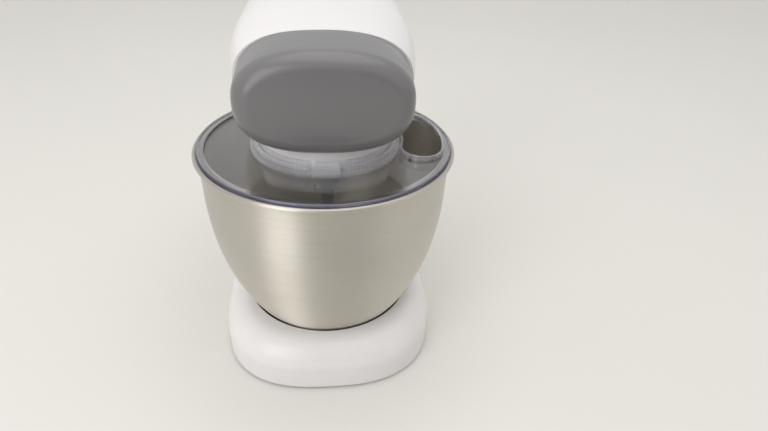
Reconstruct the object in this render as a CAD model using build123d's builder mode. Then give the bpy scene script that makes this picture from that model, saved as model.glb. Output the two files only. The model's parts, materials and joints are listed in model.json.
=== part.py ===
from build123d import *
from math import acos, asin, copysign, cos, pi, radians, sin, tan
import os

os.makedirs("parts", exist_ok=True)

# Driving dimensions, in millimetres and degrees, with the floor at height 0
LID_RADIUS = 115.0
BOWL_RIM = 202.0
LID_OVERHANG = 5.0
BOWL_WAIST = 170.0
BOWL_DROP = 173.0
BOWL_FLOOR = 37.0
BOWL_WALL = 1.0
BOWL_CORNER = 9.0
BEAD_RADIUS = 2.2
FOOT_RING_RADIUS = 52.0
FOOT_RING_WALL = 4.0
LUG_REACH = 5.0
LUG_HEIGHT = 2.2
LUG_ANGLE = 28.0
LUG_COUNT = 3
HOOK_POST = 2.0

# Base and column
HOUSING_WALL = 3.0
FOOT_GAP = 2.5
FOOT_TOP = 48.0
FOOT_ROUND = 26.0
FOOT_SIDE_INSET = 7.0
FOOT_FRONT_INSET = 3.6
FOOT_POWER = 2.67
FOOT_TAIL = 14.0
KNUCKLE_RADIUS = 34.0
COLUMN_HALF_WIDTH = 48.0
COLUMN_EDGE = 8.0
COLUMN_GAP = 19.0
COLUMN_NECK = 128.0
COLUMN_ROOT = 20.0
COLUMN_FLARE = 20.0
PLATE_THICKNESS = 3.0
SEAT_DEPTH = 17.3
SEAT_WALL = 2.5
SEAT_SKIRT_RADIUS = 63.0
RUBBER_FOOT_RADIUS = 9.0
RUBBER_STEM_RADIUS = 4.0
BASE_BOSS_RADIUS = 5.5
BASE_BOSS_INSET = 7.5
BASE_BOSS_HEIGHT = 14.0
BASE_BOSS_TURNS = (-135.0, -45.0, 50.0, 130.0)

# Head
HEAD_GAP = 16.5
HEAD_HALF_WIDTH = 85.0
HEAD_HALF_HEIGHT = 45.5
HEAD_FRONT_HALF_WIDTH = 74.0
HEAD_FRONT_HALF_HEIGHT = 42.5
HEAD_POWER = 2.5
HEAD_WALL = 3.0
HEAD_SPREAD = 100.0
SEAM_REACH = 10.0
CAP_LENGTH = 62.0
CAP_STEP = 2.5
CAP_TAPER = 3.0
CAP_ROUND = 20.0
CAP_WALL = 2.5
SPIGOT_LENGTH = 5.0
SPIGOT_WALL = 2.0
SPIGOT_GAP = 1.0
REAR_OVERHANG = 66.0
REAR_FULLNESS = 0.9
REAR_POWER = 2.6
HINGE_RISE = 14.0
PIN_RADIUS = 5.0
BUSH_WALL = 3.0
TUNNEL_WALL = 3.0
COLLAR_RADIUS = 57.0
COLLAR_WALL = 4.0
COLLAR_DROP = 12.5

# Lid
LID_THICKNESS = 2.5
LID_COLLAR_WALL = 2.4
LID_COLLAR_HEIGHT = 13.5
LID_RIM_WIDTH = 10.0
LID_EDGE_HEIGHT = 1.2
CHUTE_GAP = 7.1
CHUTE_WALL = 2.0
CHUTE_LIP = 9.0
CHUTE_START = -16.0
CHUTE_SWEEP = 38.0
TAB_WIDTH = 22.0
TAB_REACH = 4.0
TAB_HEIGHT = 15.0
NOTCH_WIDTH = 3.0

# Gears, belt and motor
PLANET_MODULE = 1.5
RING_TEETH = 48
PLANET_TEETH = 16
DRIVE_MODULE = 1.25
DRIVE_TEETH = 46
LAY_TEETH = 14
PRESSURE_ANGLE = 20.0
TOOTH_TIP = 0.8
TOOTH_ROOT = 1.05
BACKLASH = 0.12
GEAR_WIDTH = 8.0
CARRIER_RADIUS = 50.0
CARRIER_THICKNESS = 10.0
CARRIER_HUB_RADIUS = 9.5
SPINDLE_RADIUS = 6.5
SPINDLE_BOSS_DEPTH = 18.0
SPINDLE_TIP = 150.0
SPINDLE_END_RADIUS = 6.0
SPINDLE_END_LENGTH = 17.0
CROSS_PIN_RADIUS = 2.0
CROSS_PIN_RISE = 20.0
CARRIER_SHAFT_RADIUS = 6.0
LAY_SHAFT_RADIUS = 4.0
FRAME_THICKNESS = 4.0
FRAME_HALF_WIDTH = 46.0
FRAME_SPAN = 44.0
PILLAR_RADIUS = 4.5
BEARING_HEIGHT = 6.0
BEARING_WALL = 5.0
HOUSING_RIM = 3.0
LAY_PULLEY_RADIUS = 30.0
MOTOR_PULLEY_RADIUS = 8.0
PULLEY_FLANGE = 1.5
BELT_WIDTH = 8.0
BELT_THICKNESS = 1.5
BELT_CENTRES = 59.5
STATOR_HALF_WIDTH = 29.0
STATOR_HALF_LENGTH = 27.0
STATOR_HEIGHT = 20.0
STATOR_RISE = 12.0
CORE_RADIUS = 15.5
CORE_SLOTS = 12
AIR_GAP = 1.0
COIL_WIDTH = 4.6
COIL_LEG = 6.0
COIL_OVERHANG = 4.0
COMMUTATOR_RADIUS = 9.0
COMMUTATOR_HEIGHT = 7.0
FAN_RADIUS = 22.0
FAN_BLADES = 12

# Controls
KNOB_RADIUS = 19.0
KNOB_LENGTH = 17.0
KNOB_DROP = 82.5
KNOB_SHAFT_RADIUS = 3.0
SWITCH_SIZE = 28.0
SWITCH_DEPTH = 13.0
BUTTON_RADIUS = 9.0
BUTTON_STAND = 7.0
BUTTON_LENGTH = 11.0
BUTTON_DROP = 38.0
BOLT_RADIUS = 4.0
ARM_LENGTH = 25.0
ARM_END_RADIUS = 8.0
ARM_THICKNESS = 4.0
ARM_OFFSET = 13.0
RISER_OFFSET = 4.0
RIB_OFFSET = 28.5
SPRING_RADIUS = 6.2
SPRING_WIRE = 0.9
SPRING_TURNS = 5
GLAND_RADIUS = 6.5
GLAND_HEIGHT = 14.5
SCREW_RADIUS = 1.75
SCREW_HEAD_RADIUS = 3.5
SCREW_HEAD_HEIGHT = 2.5

# Clearances
PRESS = 0.02
RUN = 0.05
CLEAR = 0.3
SLIDE = 0.5
SWING = 2.0

# Places that follow from the sizes
BOWL_RADIUS = LID_RADIUS - LID_OVERHANG
FOOT_HALF_WIDTH = BOWL_RADIUS - FOOT_SIDE_INSET
FOOT_FRONT = BOWL_RADIUS - FOOT_FRONT_INSET
HINGE_REACH = LID_RADIUS + COLUMN_GAP + KNUCKLE_RADIUS
REAR_REACH = HINGE_REACH + REAR_OVERHANG
BOWL_Y = (LID_RADIUS - REAR_REACH) / 2
HINGE_Y = BOWL_Y + HINGE_REACH
HEAD_BOTTOM = BOWL_RIM + HEAD_GAP
HEAD_MIDDLE = HEAD_BOTTOM + HEAD_HALF_HEIGHT
HINGE_Z = HEAD_BOTTOM + HINGE_RISE
FOOT_REAR = HINGE_REACH + KNUCKLE_RADIUS + FOOT_TAIL
SEAM_Y = BOWL_Y - SEAM_REACH
CAP_FRONT_Y = SEAM_Y - CAP_LENGTH
GEAR_CENTRES = DRIVE_MODULE * (DRIVE_TEETH + LAY_TEETH) / 2
PLANET_OFFSET = PLANET_MODULE * (RING_TEETH - PLANET_TEETH) / 2
LAY_Y = BOWL_Y + GEAR_CENTRES
MOTOR_Y = LAY_Y + BELT_CENTRES
PLANET_Y = BOWL_Y - PLANET_OFFSET
PLANET_SIDE = -90.0
SEAT_RADIUS = BOWL_RADIUS * (1 - ((BOWL_WAIST - FOOT_TOP) / BOWL_DROP) ** 2) ** 0.5 + SWING
SEAT_FLOOR = FOOT_TOP - SEAT_DEPTH
PLATE_TOP = FOOT_GAP + PLATE_THICKNESS
LID_BASE = BOWL_RIM - LID_THICKNESS
LID_RIM = BOWL_RIM + CLEAR
LID_COLLAR_INNER = COLLAR_RADIUS + SLIDE
LID_COLLAR_OUTER = LID_COLLAR_INNER + LID_COLLAR_WALL
CHUTE_OUTER = LID_RADIUS - LID_RIM_WIDTH - CHUTE_WALL
CHUTE_WIDTH = CHUTE_OUTER - LID_COLLAR_OUTER - CHUTE_GAP - CHUTE_WALL
CHUTE_RADIUS = CHUTE_OUTER - CHUTE_WIDTH / 2
RING_TOP = HEAD_BOTTOM - SLIDE
RING_BOTTOM = RING_TOP - GEAR_WIDTH - SWING
FRAME_BOTTOM = HEAD_BOTTOM + HEAD_WALL + 9.5
FRAME_TOP = FRAME_BOTTOM + FRAME_THICKNESS
TOP_PLATE = FRAME_TOP + FRAME_SPAN
TOP_PLATE_TOP = TOP_PLATE + FRAME_THICKNESS
CARRIER_TOP = RING_BOTTOM - SWING
CARRIER_BOTTOM = CARRIER_TOP - CARRIER_THICKNESS
GEAR_BOTTOM = FRAME_BOTTOM + BEARING_HEIGHT + SWING
BELT_BOTTOM = TOP_PLATE_TOP + 2 * PULLEY_FLANGE + SLIDE
BELT_TOP = BELT_BOTTOM + BELT_WIDTH
STATOR_BOTTOM = FRAME_TOP + STATOR_RISE
STATOR_TOP = STATOR_BOTTOM + STATOR_HEIGHT
KNOB_Z = HINGE_Z - KNOB_DROP
BUTTON_Z = HINGE_Z - BUTTON_DROP
INNER_SIDE = COLUMN_HALF_WIDTH - HOUSING_WALL
SLOT_HALF_WIDTH = COLUMN_HALF_WIDTH + SWING
SLOT_RADIUS = KNUCKLE_RADIUS + SWING
SLOT_REAR = REAR_OVERHANG - 8.0
PIN_HALF_LENGTH = SLOT_HALF_WIDTH + TUNNEL_WALL + 8.0
OUTLINE_POINTS = 16
HEAD_STATIONS = 8

FRONT = Plane((0, BOWL_Y, 0), x_dir=(1, 0, 0), z_dir=(0, -1, 0))
FRAME_SCREWS = [(side * 40.0, LAY_Y + shift) for side in (-1, 1) for shift in (-24.0, 24.0)]
MOTOR_POSTS = [(side * 24.0, MOTOR_Y + shift) for side in (-1, 1) for shift in (-22.0, 22.0)]
RUBBER_FEET = [(-78.0, BOWL_Y - 40.0), (78.0, BOWL_Y - 40.0), (-55.0, HINGE_Y - 3.0), (55.0, HINGE_Y - 3.0)]

# Smaller details of the base and the controls
BOARD_PEG_GRID = (50, 34)
BOARD_PEG_RADIUS = 3
BOARD_PEG_HEIGHT = 8
BOARD_SIZE = (60, 44)
BOARD_THICKNESS = 1.6
BOARD_PART_HEIGHT = 14
CAPACITOR_PLACE, CAPACITOR_RADIUS = (-14, 6), 7
RELAY_PLACE, RELAY_SIZE = (10, 4), (18, 12)
HEADER_PLACE, HEADER_SIZE = (4, -14), (26, 5)
GLAND_WALL = 3.5
GLAND_LIP = 2
GLAND_LENGTH = 4
BUSH_COLLAR = 2
SWITCH_CORNER = 3
SWITCH_TAG_GRID = (12, 16)
SWITCH_TAG_SIZE = (1, 5)
SWITCH_TAG_LENGTH = 7
SHAFT_END_GAP = 1
KNOB_COVER = 6
KNOB_SKIRT = 5
KNOB_STEP = 2
KNOB_TAPER = 5
KNOB_EDGE = 2
KNOB_GRIP_REACH = 4
KNOB_GRIP_CUT = 15
BUTTON_EDGE = 1.5
BOLT_SOCKET = 4
BOLT_SOCKET_CUT = 5
RISER_THICKNESS = 4


def level(height, y=BOWL_Y, x=0.0):
    """Level plane at a height, centred on a place."""
    return Plane((x, y, height))


def side_plane(x, y, z):
    """Upright plane facing +X, drawn with Y across and Z up."""
    return Plane((x, y, z), x_dir=(0, 1, 0), z_dir=(1, 0, 0))


def cross_plane(y):
    """Upright plane facing the front, drawn with X across and Z up."""
    return Plane((0, y, 0), x_dir=(1, 0, 0), z_dir=(0, -1, 0))


def fuller(value, power):
    """Stretch a sine or cosine so that an oval gets fuller corners."""
    return copysign(abs(value) ** (2 / power), value)


def oval_face(y, half_width, half_height, middle):
    """Cross section of the head at y, drawn from its top."""
    points = []
    for step in range(OUTLINE_POINTS):
        turn = pi / 2 + 2 * pi * step / OUTLINE_POINTS
        across = half_width * fuller(cos(turn), HEAD_POWER)
        points.append((across, middle + half_height * fuller(sin(turn), HEAD_POWER)))
    with BuildSketch(cross_plane(y)) as face:
        with BuildLine():
            Spline(*points, periodic=True)
        make_face()
    return face.sketch


def foot_place(turn, inset):
    """Place on the foot's outline from above, drawn in by inset: blunt at the front, long at the rear."""
    reach = FOOT_REAR if sin(turn) > 0 else FOOT_FRONT
    across = (FOOT_HALF_WIDTH - inset) * fuller(cos(turn), FOOT_POWER)
    return (across, (reach - inset) * fuller(sin(turn), FOOT_POWER))


def foot_face(inset, height):
    """Outline of the foot from above, drawn in by inset."""
    points = [foot_place(2 * pi * step / OUTLINE_POINTS, inset) for step in range(OUTLINE_POINTS)]
    with BuildSketch(level(height)) as face:
        with BuildLine():
            Spline(*points, periodic=True)
        make_face()
    return face.sketch


def foot_form(inset):
    """Pillow-shaped foot, drawn in by inset."""
    with BuildPart() as form:
        extrude(foot_face(inset, FOOT_GAP), amount=FOOT_TOP - FOOT_GAP - inset)
        fillet(form.faces().sort_by(Axis.Z)[-1].edges(), FOOT_ROUND - inset)
    return form.part


def column_form(inset):
    """Flared column with a round knuckle on top, drawn in by inset."""
    radius = KNUCKLE_RADIUS - inset
    half = COLUMN_HALF_WIDTH - inset
    edge = COLUMN_EDGE - inset
    with BuildPart() as form:
        with BuildSketch(side_plane(-half, HINGE_Y, HINGE_Z)):
            Circle(radius)
            Rectangle(2 * radius, HINGE_Z - COLUMN_NECK, align=(Align.CENTER, Align.MAX))
        extrude(amount=2 * half)
        ends = form.faces().sort_by(Axis.X)
        rims = (ends[0].edges() + ends[-1].edges()).filter_by(lambda rim: rim.center().Z > COLUMN_NECK + 1)
        fillet(rims, edge)
        with BuildSketch(level(COLUMN_NECK, HINGE_Y)) as neck:
            RectangleRounded(2 * half, 2 * radius, edge)
        with BuildSketch(level(COLUMN_ROOT, HINGE_Y - COLUMN_FLARE / 2)) as root:
            RectangleRounded(2 * half, 2 * radius + COLUMN_FLARE, edge)
        loft(sections=[root.sketch, neck.sketch])
    return form.part


def spread(reach, front, full):
    """Half width or height of the head that grows from the seam towards the rear."""
    share = min(1.0, (reach + SEAM_REACH) / HEAD_SPREAD)
    return full - (full - front) * (1 - share) ** 2


def rear_share(reach):
    """How far the head has drawn in towards its rear end."""
    depth = max(0.0, reach - HINGE_REACH) * REAR_FULLNESS / REAR_OVERHANG
    return (1 - depth**REAR_POWER) ** (1 / REAR_POWER)


def head_form(inset):
    """Head from the seam to the rear, drawn in by inset."""
    front = -SEAM_REACH - inset * 0.1
    tail = [HINGE_REACH + REAR_OVERHANG * share for share in (0.35, 0.65, 0.87)]
    body = [front + (HINGE_REACH - front) * step / HEAD_STATIONS for step in range(HEAD_STATIONS + 1)]
    rear = REAR_REACH - inset
    sections = []
    for reach in [*body, *tail, rear]:
        half_height = spread(reach, HEAD_FRONT_HALF_HEIGHT, HEAD_HALF_HEIGHT)
        width = spread(reach, HEAD_FRONT_HALF_WIDTH, HEAD_HALF_WIDTH) * rear_share(reach) - inset
        height = half_height * rear_share(reach) - inset
        sections.append(oval_face(BOWL_Y + reach, width, height, HEAD_BOTTOM + half_height))
    with BuildPart() as form:
        loft(sections=sections)
    return form.part


def cap_form(inset):
    """Rounded nose of the head in front of the seam, drawn in by inset."""
    middle = HEAD_BOTTOM + HEAD_FRONT_HALF_HEIGHT
    back_width = HEAD_FRONT_HALF_WIDTH - CAP_STEP - inset
    back = oval_face(SEAM_Y, back_width, HEAD_FRONT_HALF_HEIGHT - inset, middle)
    nose_width = back_width - CAP_TAPER
    nose_height = HEAD_FRONT_HALF_HEIGHT - CAP_TAPER / 2 - inset
    nose = oval_face(CAP_FRONT_Y + inset, nose_width, nose_height, middle)
    with BuildPart() as form:
        loft(sections=[back, nose])
        fillet(form.faces().sort_by(Axis.Y)[0].edges(), CAP_ROUND - inset)
    return form.part


def gear_face(plane, teeth, module, phase, outer, inner, play):
    """Toothed outline with involute flanks; play thins each tooth, or widens a hollow gear's gaps."""
    pitch = teeth * module / 2
    base = pitch * cos(radians(PRESSURE_ANGLE))
    roll = tan(radians(PRESSURE_ANGLE)) - radians(PRESSURE_ANGLE)

    def flank(radius):
        lean = acos(min(1.0, base / radius))
        return (pi * module / 2 - 2 * play) / (2 * pitch) + roll - (tan(lean) - lean)

    def place(radius, angle):
        return (radius * cos(angle), radius * sin(angle))

    radii = [max(inner, base * 1.0005), pitch, outer]
    with BuildSketch(plane) as face:
        with BuildLine():
            for tooth in range(teeth):
                middle = radians(phase) + 2 * pi * tooth / teeth
                rising = [place(radius, middle - flank(radius)) for radius in radii]
                falling = [place(radius, middle + flank(radius)) for radius in reversed(radii)]
                foot = flank(radii[0])
                gap_end = middle + 2 * pi / teeth - foot
                start = place(inner, middle - foot)
                end = place(inner, middle + foot)
                if radii[0] > inner:
                    Line(start, rising[0])
                    Line(falling[-1], end)
                else:
                    start, end = rising[0], falling[-1]
                Spline(*rising)
                Line(rising[-1], falling[0])
                Spline(*falling)
                Line(end, place(inner, gap_end))
        make_face()
    return face.sketch


def tip(teeth, module):
    """Tip radius of an outer gear."""
    return teeth * module / 2 + TOOTH_TIP * module


def root(teeth, module):
    """Root radius of an outer gear."""
    return teeth * module / 2 - TOOTH_ROOT * module


def save(part, name):
    """Label a finished piece and write it."""
    part.label = name
    export_step(part, f"parts/{name}.step")


BASE_BOSSES = [foot_place(radians(turn), BASE_BOSS_INSET) for turn in BASE_BOSS_TURNS]


# Bowl: thin steel wall on an ellipse, with a rolled rim
def bowl_face(inset):
    """Half section of the filled bowl, drawn in by inset."""
    radius = BOWL_RADIUS - inset
    drop = BOWL_DROP - inset
    floor = BOWL_FLOOR + inset
    turn = asin((BOWL_WAIST - floor) / drop)
    angles = [turn * (1 - share / 4) for share in range(5)]
    curve = [(radius * cos(angle), BOWL_WAIST - drop * sin(angle)) for angle in angles]
    top = BOWL_RIM - BEAD_RADIUS
    with BuildSketch() as face:
        with BuildLine():
            Spline(*curve, tangents=[(radius * sin(turn), drop * cos(turn)), (0, 1)])
            Polyline((radius, BOWL_WAIST), (radius, top), (0, top), (0, floor), curve[0])
        wall = make_face()
        fillet(wall.vertices().group_by(Axis.Y)[0].sort_by(Axis.X)[-1], BOWL_CORNER - inset)
    return face.sketch


bowl_outside = bowl_face(0.0)
bowl_inside = bowl_face(BOWL_WALL)
with BuildPart() as bowl:
    with BuildSketch(FRONT):
        add(bowl_outside)
        add(bowl_inside, mode=Mode.SUBTRACT)
        with Locations((BOWL_RADIUS + BEAD_RADIUS / 2, BOWL_RIM - BEAD_RADIUS)):
            Circle(BEAD_RADIUS)
    revolve(axis=Axis((0, BOWL_Y, 0), (0, 0, 1)))
save(bowl.part, "bowl")


def bayonet_arcs(radius):
    """Arcs that the bowl's lugs and the seat's hooks follow."""
    starts = [lug * 360 / LUG_COUNT - LUG_ANGLE / 2 for lug in range(LUG_COUNT)]
    return [CenterArc((0, 0), radius, start, LUG_ANGLE) for start in starts]


lug_arcs = bayonet_arcs(FOOT_RING_RADIUS + LUG_REACH / 2 - SLIDE)
with BuildPart() as bowl_foot:
    with BuildSketch(level(SEAT_FLOOR + CLEAR)):
        Circle(FOOT_RING_RADIUS)
        Circle(FOOT_RING_RADIUS - FOOT_RING_WALL, mode=Mode.SUBTRACT)
    extrude(amount=BOWL_FLOOR - SEAT_FLOOR - CLEAR)
    with BuildSketch(level(SEAT_FLOOR + CLEAR)):
        for arc in lug_arcs:
            SlotArc(arc, LUG_REACH + 2 * SLIDE)
    extrude(amount=LUG_HEIGHT)
save(bowl_foot.part, "bowl_foot")

# Base: plate, seat, housing and what stands in them
with BuildPart() as base_plate:
    extrude(foot_face(HOUSING_WALL + CLEAR, FOOT_GAP), amount=PLATE_THICKNESS)
    with BuildSketch(level(FOOT_GAP, 0)):
        with Locations(*RUBBER_FEET):
            Circle(RUBBER_STEM_RADIUS)
    extrude(amount=PLATE_THICKNESS, mode=Mode.SUBTRACT)
    with BuildSketch(level(FOOT_GAP)):
        with Locations(*BASE_BOSSES):
            Circle(SCREW_RADIUS + CLEAR)
    extrude(amount=PLATE_THICKNESS, mode=Mode.SUBTRACT)
    with BuildSketch(level(FOOT_GAP)):
        with Locations(*BASE_BOSSES):
            Circle(SCREW_HEAD_RADIUS + CLEAR)
    extrude(amount=PLATE_THICKNESS / 2, mode=Mode.SUBTRACT)
    with BuildSketch(level(PLATE_TOP, HINGE_Y)):
        with GridLocations(*BOARD_PEG_GRID, 2, 2):
            Circle(BOARD_PEG_RADIUS)
    extrude(amount=BOARD_PEG_HEIGHT)
save(base_plate.part, "base_plate")

with BuildPart() as control_board:
    with BuildSketch(level(PLATE_TOP + BOARD_PEG_HEIGHT, HINGE_Y)):
        Rectangle(*BOARD_SIZE)
    extrude(amount=BOARD_THICKNESS)
    with BuildSketch(level(PLATE_TOP + BOARD_PEG_HEIGHT + BOARD_THICKNESS, HINGE_Y)):
        with Locations(CAPACITOR_PLACE):
            Circle(CAPACITOR_RADIUS)
        with Locations(RELAY_PLACE):
            Rectangle(*RELAY_SIZE)
        with Locations(HEADER_PLACE):
            Rectangle(*HEADER_SIZE)
    extrude(amount=BOARD_PART_HEIGHT)
save(control_board.part, "control_board")

with BuildPart() as rubber_feet:
    for x, y in RUBBER_FEET:
        with BuildSketch(level(0, y, x)):
            Circle(RUBBER_FOOT_RADIUS)
        extrude(amount=FOOT_GAP)
        with BuildSketch(level(FOOT_GAP, y, x)):
            Circle(RUBBER_STEM_RADIUS - PRESS)
        extrude(amount=PLATE_THICKNESS)
save(rubber_feet.part, "rubber_feet")

with BuildPart() as base_screws:
    for x, reach in BASE_BOSSES:
        with BuildSketch(level(FOOT_GAP + PLATE_THICKNESS / 2, BOWL_Y + reach, x)):
            Circle(SCREW_HEAD_RADIUS)
        extrude(amount=-PLATE_THICKNESS / 2)
        with BuildSketch(level(FOOT_GAP + PLATE_THICKNESS / 2, BOWL_Y + reach, x)):
            Circle(SCREW_RADIUS)
        extrude(amount=BASE_BOSS_HEIGHT)
save(base_screws.part, "base_screws")

HOOK_BOTTOM = SEAT_FLOOR + CLEAR + LUG_HEIGHT + SLIDE
HOOK_INNER = FOOT_RING_RADIUS + CLEAR + SLIDE
HOOK_OUTER = FOOT_RING_RADIUS + LUG_REACH + 4.0
post_arcs = bayonet_arcs(HOOK_OUTER - HOOK_POST / 2 - SLIDE)
claw_arcs = bayonet_arcs((HOOK_INNER + HOOK_OUTER) / 2)
with BuildPart() as bowl_seat:
    with BuildSketch(FRONT):
        with BuildLine():
            Polyline(
                (0, SEAT_FLOOR - SEAT_WALL),
                (SEAT_SKIRT_RADIUS - SEAT_WALL, SEAT_FLOOR - SEAT_WALL),
                (SEAT_SKIRT_RADIUS - SEAT_WALL, PLATE_TOP),
                (SEAT_SKIRT_RADIUS, PLATE_TOP),
                (SEAT_SKIRT_RADIUS, SEAT_FLOOR - SEAT_WALL),
                (SEAT_RADIUS + SEAT_WALL, SEAT_FLOOR - SEAT_WALL),
                (SEAT_RADIUS + SEAT_WALL, FOOT_TOP - HOUSING_WALL - SWING),
                (SEAT_RADIUS, FOOT_TOP - HOUSING_WALL - SWING),
                (SEAT_RADIUS, SEAT_FLOOR),
                (0, SEAT_FLOOR),
                close=True,
            )
        make_face()
    revolve(axis=Axis((0, BOWL_Y, 0), (0, 0, 1)))
    with BuildSketch(level(SEAT_FLOOR)):
        for arc in post_arcs:
            SlotArc(arc, HOOK_POST)
    extrude(amount=HOOK_BOTTOM - SEAT_FLOOR + HOOK_POST / 2)
    with BuildSketch(level(HOOK_BOTTOM)):
        for arc in claw_arcs:
            SlotArc(arc, HOOK_OUTER - HOOK_INNER)
    extrude(amount=HOOK_POST)
save(bowl_seat.part, "bowl_seat")

outer_foot = foot_form(0.0)
inner_foot = foot_form(HOUSING_WALL)
outer_column = column_form(0.0)
inner_column = column_form(HOUSING_WALL)
with BuildPart() as base_housing:
    add(outer_foot)
    add(outer_column)
    add(inner_foot, mode=Mode.SUBTRACT)
    add(inner_column, mode=Mode.SUBTRACT)
    with BuildSketch(level(SEAT_FLOOR)):
        Circle(SEAT_RADIUS)
    extrude(amount=FOOT_TOP - SEAT_FLOOR + SLIDE, mode=Mode.SUBTRACT)
    with BuildSketch(level(PLATE_TOP)):
        with Locations(*BASE_BOSSES):
            Circle(BASE_BOSS_RADIUS)
    extrude(amount=BASE_BOSS_HEIGHT)
    with BuildSketch(level(PLATE_TOP)):
        with Locations(*BASE_BOSSES):
            Circle(SCREW_RADIUS + PRESS)
    extrude(amount=BASE_BOSS_HEIGHT, mode=Mode.SUBTRACT)
    with BuildSketch(side_plane(-RIB_OFFSET - HOUSING_WALL / 2, HINGE_Y, BUTTON_Z)):
        Rectangle(2 * KNUCKLE_RADIUS - 2 * HOUSING_WALL + SLIDE, 2 * BUTTON_RADIUS + 2 * HOUSING_WALL)
        Circle(BOLT_RADIUS + RUN, mode=Mode.SUBTRACT)
    extrude(amount=HOUSING_WALL)
    with BuildSketch(side_plane(-COLUMN_HALF_WIDTH - SLIDE, HINGE_Y, HINGE_Z)):
        Circle(PIN_RADIUS + BUSH_WALL)
    extrude(amount=2 * COLUMN_HALF_WIDTH + 2 * SLIDE, mode=Mode.SUBTRACT)
    with BuildSketch(side_plane(-COLUMN_HALF_WIDTH - SLIDE, HINGE_Y, BUTTON_Z)):
        Circle(BUTTON_RADIUS + CLEAR)
    extrude(amount=HOUSING_WALL + 2 * SLIDE, mode=Mode.SUBTRACT)
    with BuildSketch(side_plane(INNER_SIDE - SLIDE, HINGE_Y, KNOB_Z)):
        Circle(KNOB_SHAFT_RADIUS + CLEAR)
    extrude(amount=HOUSING_WALL + 2 * SLIDE, mode=Mode.SUBTRACT)
    with BuildSketch(cross_plane(BOWL_Y + FOOT_REAR + SLIDE)):
        with Locations((0, GLAND_HEIGHT)):
            Circle(GLAND_RADIUS)
    extrude(amount=HOUSING_WALL + 2 * SLIDE, mode=Mode.SUBTRACT)
save(base_housing.part, "base_housing")

with BuildPart() as cord_gland:
    with BuildSketch(Plane((0, BOWL_Y + FOOT_REAR, GLAND_HEIGHT), x_dir=(0, 0, 1), z_dir=(1, 0, 0))):
        with BuildLine():
            Polyline(
                (GLAND_RADIUS - GLAND_WALL, HOUSING_WALL + GLAND_LENGTH),
                (GLAND_RADIUS + GLAND_LIP, HOUSING_WALL + GLAND_LENGTH),
                (GLAND_RADIUS + GLAND_LIP, HOUSING_WALL + CLEAR),
                (GLAND_RADIUS - PRESS, HOUSING_WALL + CLEAR),
                (GLAND_RADIUS - PRESS, -CLEAR),
                (GLAND_RADIUS + GLAND_LIP, -CLEAR),
                (GLAND_RADIUS, -GLAND_LENGTH),
                (GLAND_RADIUS - GLAND_WALL, -GLAND_LENGTH),
                close=True,
            )
        make_face()
    revolve(axis=Axis((0, 0, GLAND_HEIGHT), (0, 1, 0)))
save(cord_gland.part, "cord_gland")

with BuildPart() as hinge_bushes:
    for side in (-1, 1):
        with BuildSketch(side_plane(side * INNER_SIDE, HINGE_Y, HINGE_Z)):
            Circle(PIN_RADIUS + BUSH_WALL - PRESS)
            Circle(PIN_RADIUS + RUN, mode=Mode.SUBTRACT)
        extrude(amount=side * (HOUSING_WALL + SLIDE))
        with BuildSketch(side_plane(side * INNER_SIDE, HINGE_Y, HINGE_Z)):
            Circle(PIN_RADIUS + 2 * BUSH_WALL)
            Circle(PIN_RADIUS + RUN, mode=Mode.SUBTRACT)
        extrude(amount=-side * BUSH_COLLAR)
save(hinge_bushes.part, "hinge_bushes")

# Controls on the column
with BuildPart() as speed_switch:
    with BuildSketch(side_plane(INNER_SIDE, HINGE_Y, KNOB_Z)):
        RectangleRounded(SWITCH_SIZE, SWITCH_SIZE, SWITCH_CORNER)
        Circle(KNOB_SHAFT_RADIUS + RUN, mode=Mode.SUBTRACT)
    extrude(amount=-SWITCH_DEPTH)
    with BuildSketch(side_plane(INNER_SIDE - SWITCH_DEPTH, HINGE_Y, KNOB_Z)):
        with GridLocations(*SWITCH_TAG_GRID, 2, 2):
            Rectangle(*SWITCH_TAG_SIZE)
    extrude(amount=-SWITCH_TAG_LENGTH)
save(speed_switch.part, "speed_switch")

with BuildPart() as knob_shaft:
    with BuildSketch(side_plane(INNER_SIDE - SWITCH_DEPTH + SHAFT_END_GAP, HINGE_Y, KNOB_Z)):
        Circle(KNOB_SHAFT_RADIUS)
    extrude(amount=SWITCH_DEPTH + HOUSING_WALL + KNOB_LENGTH - KNOB_COVER)
save(knob_shaft.part, "knob_shaft")

with BuildPart() as speed_knob:
    with BuildSketch(side_plane(COLUMN_HALF_WIDTH + SLIDE, HINGE_Y, KNOB_Z)):
        Circle(KNOB_RADIUS)
    extrude(amount=KNOB_SKIRT)
    with BuildSketch(side_plane(COLUMN_HALF_WIDTH + SLIDE + KNOB_SKIRT, HINGE_Y, KNOB_Z)):
        Circle(KNOB_RADIUS - KNOB_STEP)
    extrude(amount=KNOB_LENGTH - KNOB_SKIRT, taper=KNOB_TAPER)
    fillet(speed_knob.faces().sort_by(Axis.X)[-1].edges(), KNOB_EDGE)
    with BuildSketch(side_plane(COLUMN_HALF_WIDTH + SLIDE + KNOB_SKIRT, HINGE_Y, KNOB_Z)):
        with Locations((KNOB_GRIP_REACH - KNOB_RADIUS, 0), (KNOB_RADIUS - KNOB_GRIP_REACH, 0)):
            Rectangle(KNOB_GRIP_CUT, 2 * KNOB_RADIUS)
    extrude(amount=KNOB_LENGTH, mode=Mode.SUBTRACT)
    with BuildSketch(side_plane(COLUMN_HALF_WIDTH, HINGE_Y, KNOB_Z)):
        Circle(KNOB_SHAFT_RADIUS + PRESS)
    extrude(amount=KNOB_LENGTH - KNOB_SKIRT + PRESS, mode=Mode.SUBTRACT)
save(speed_knob.part, "speed_knob")

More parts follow.
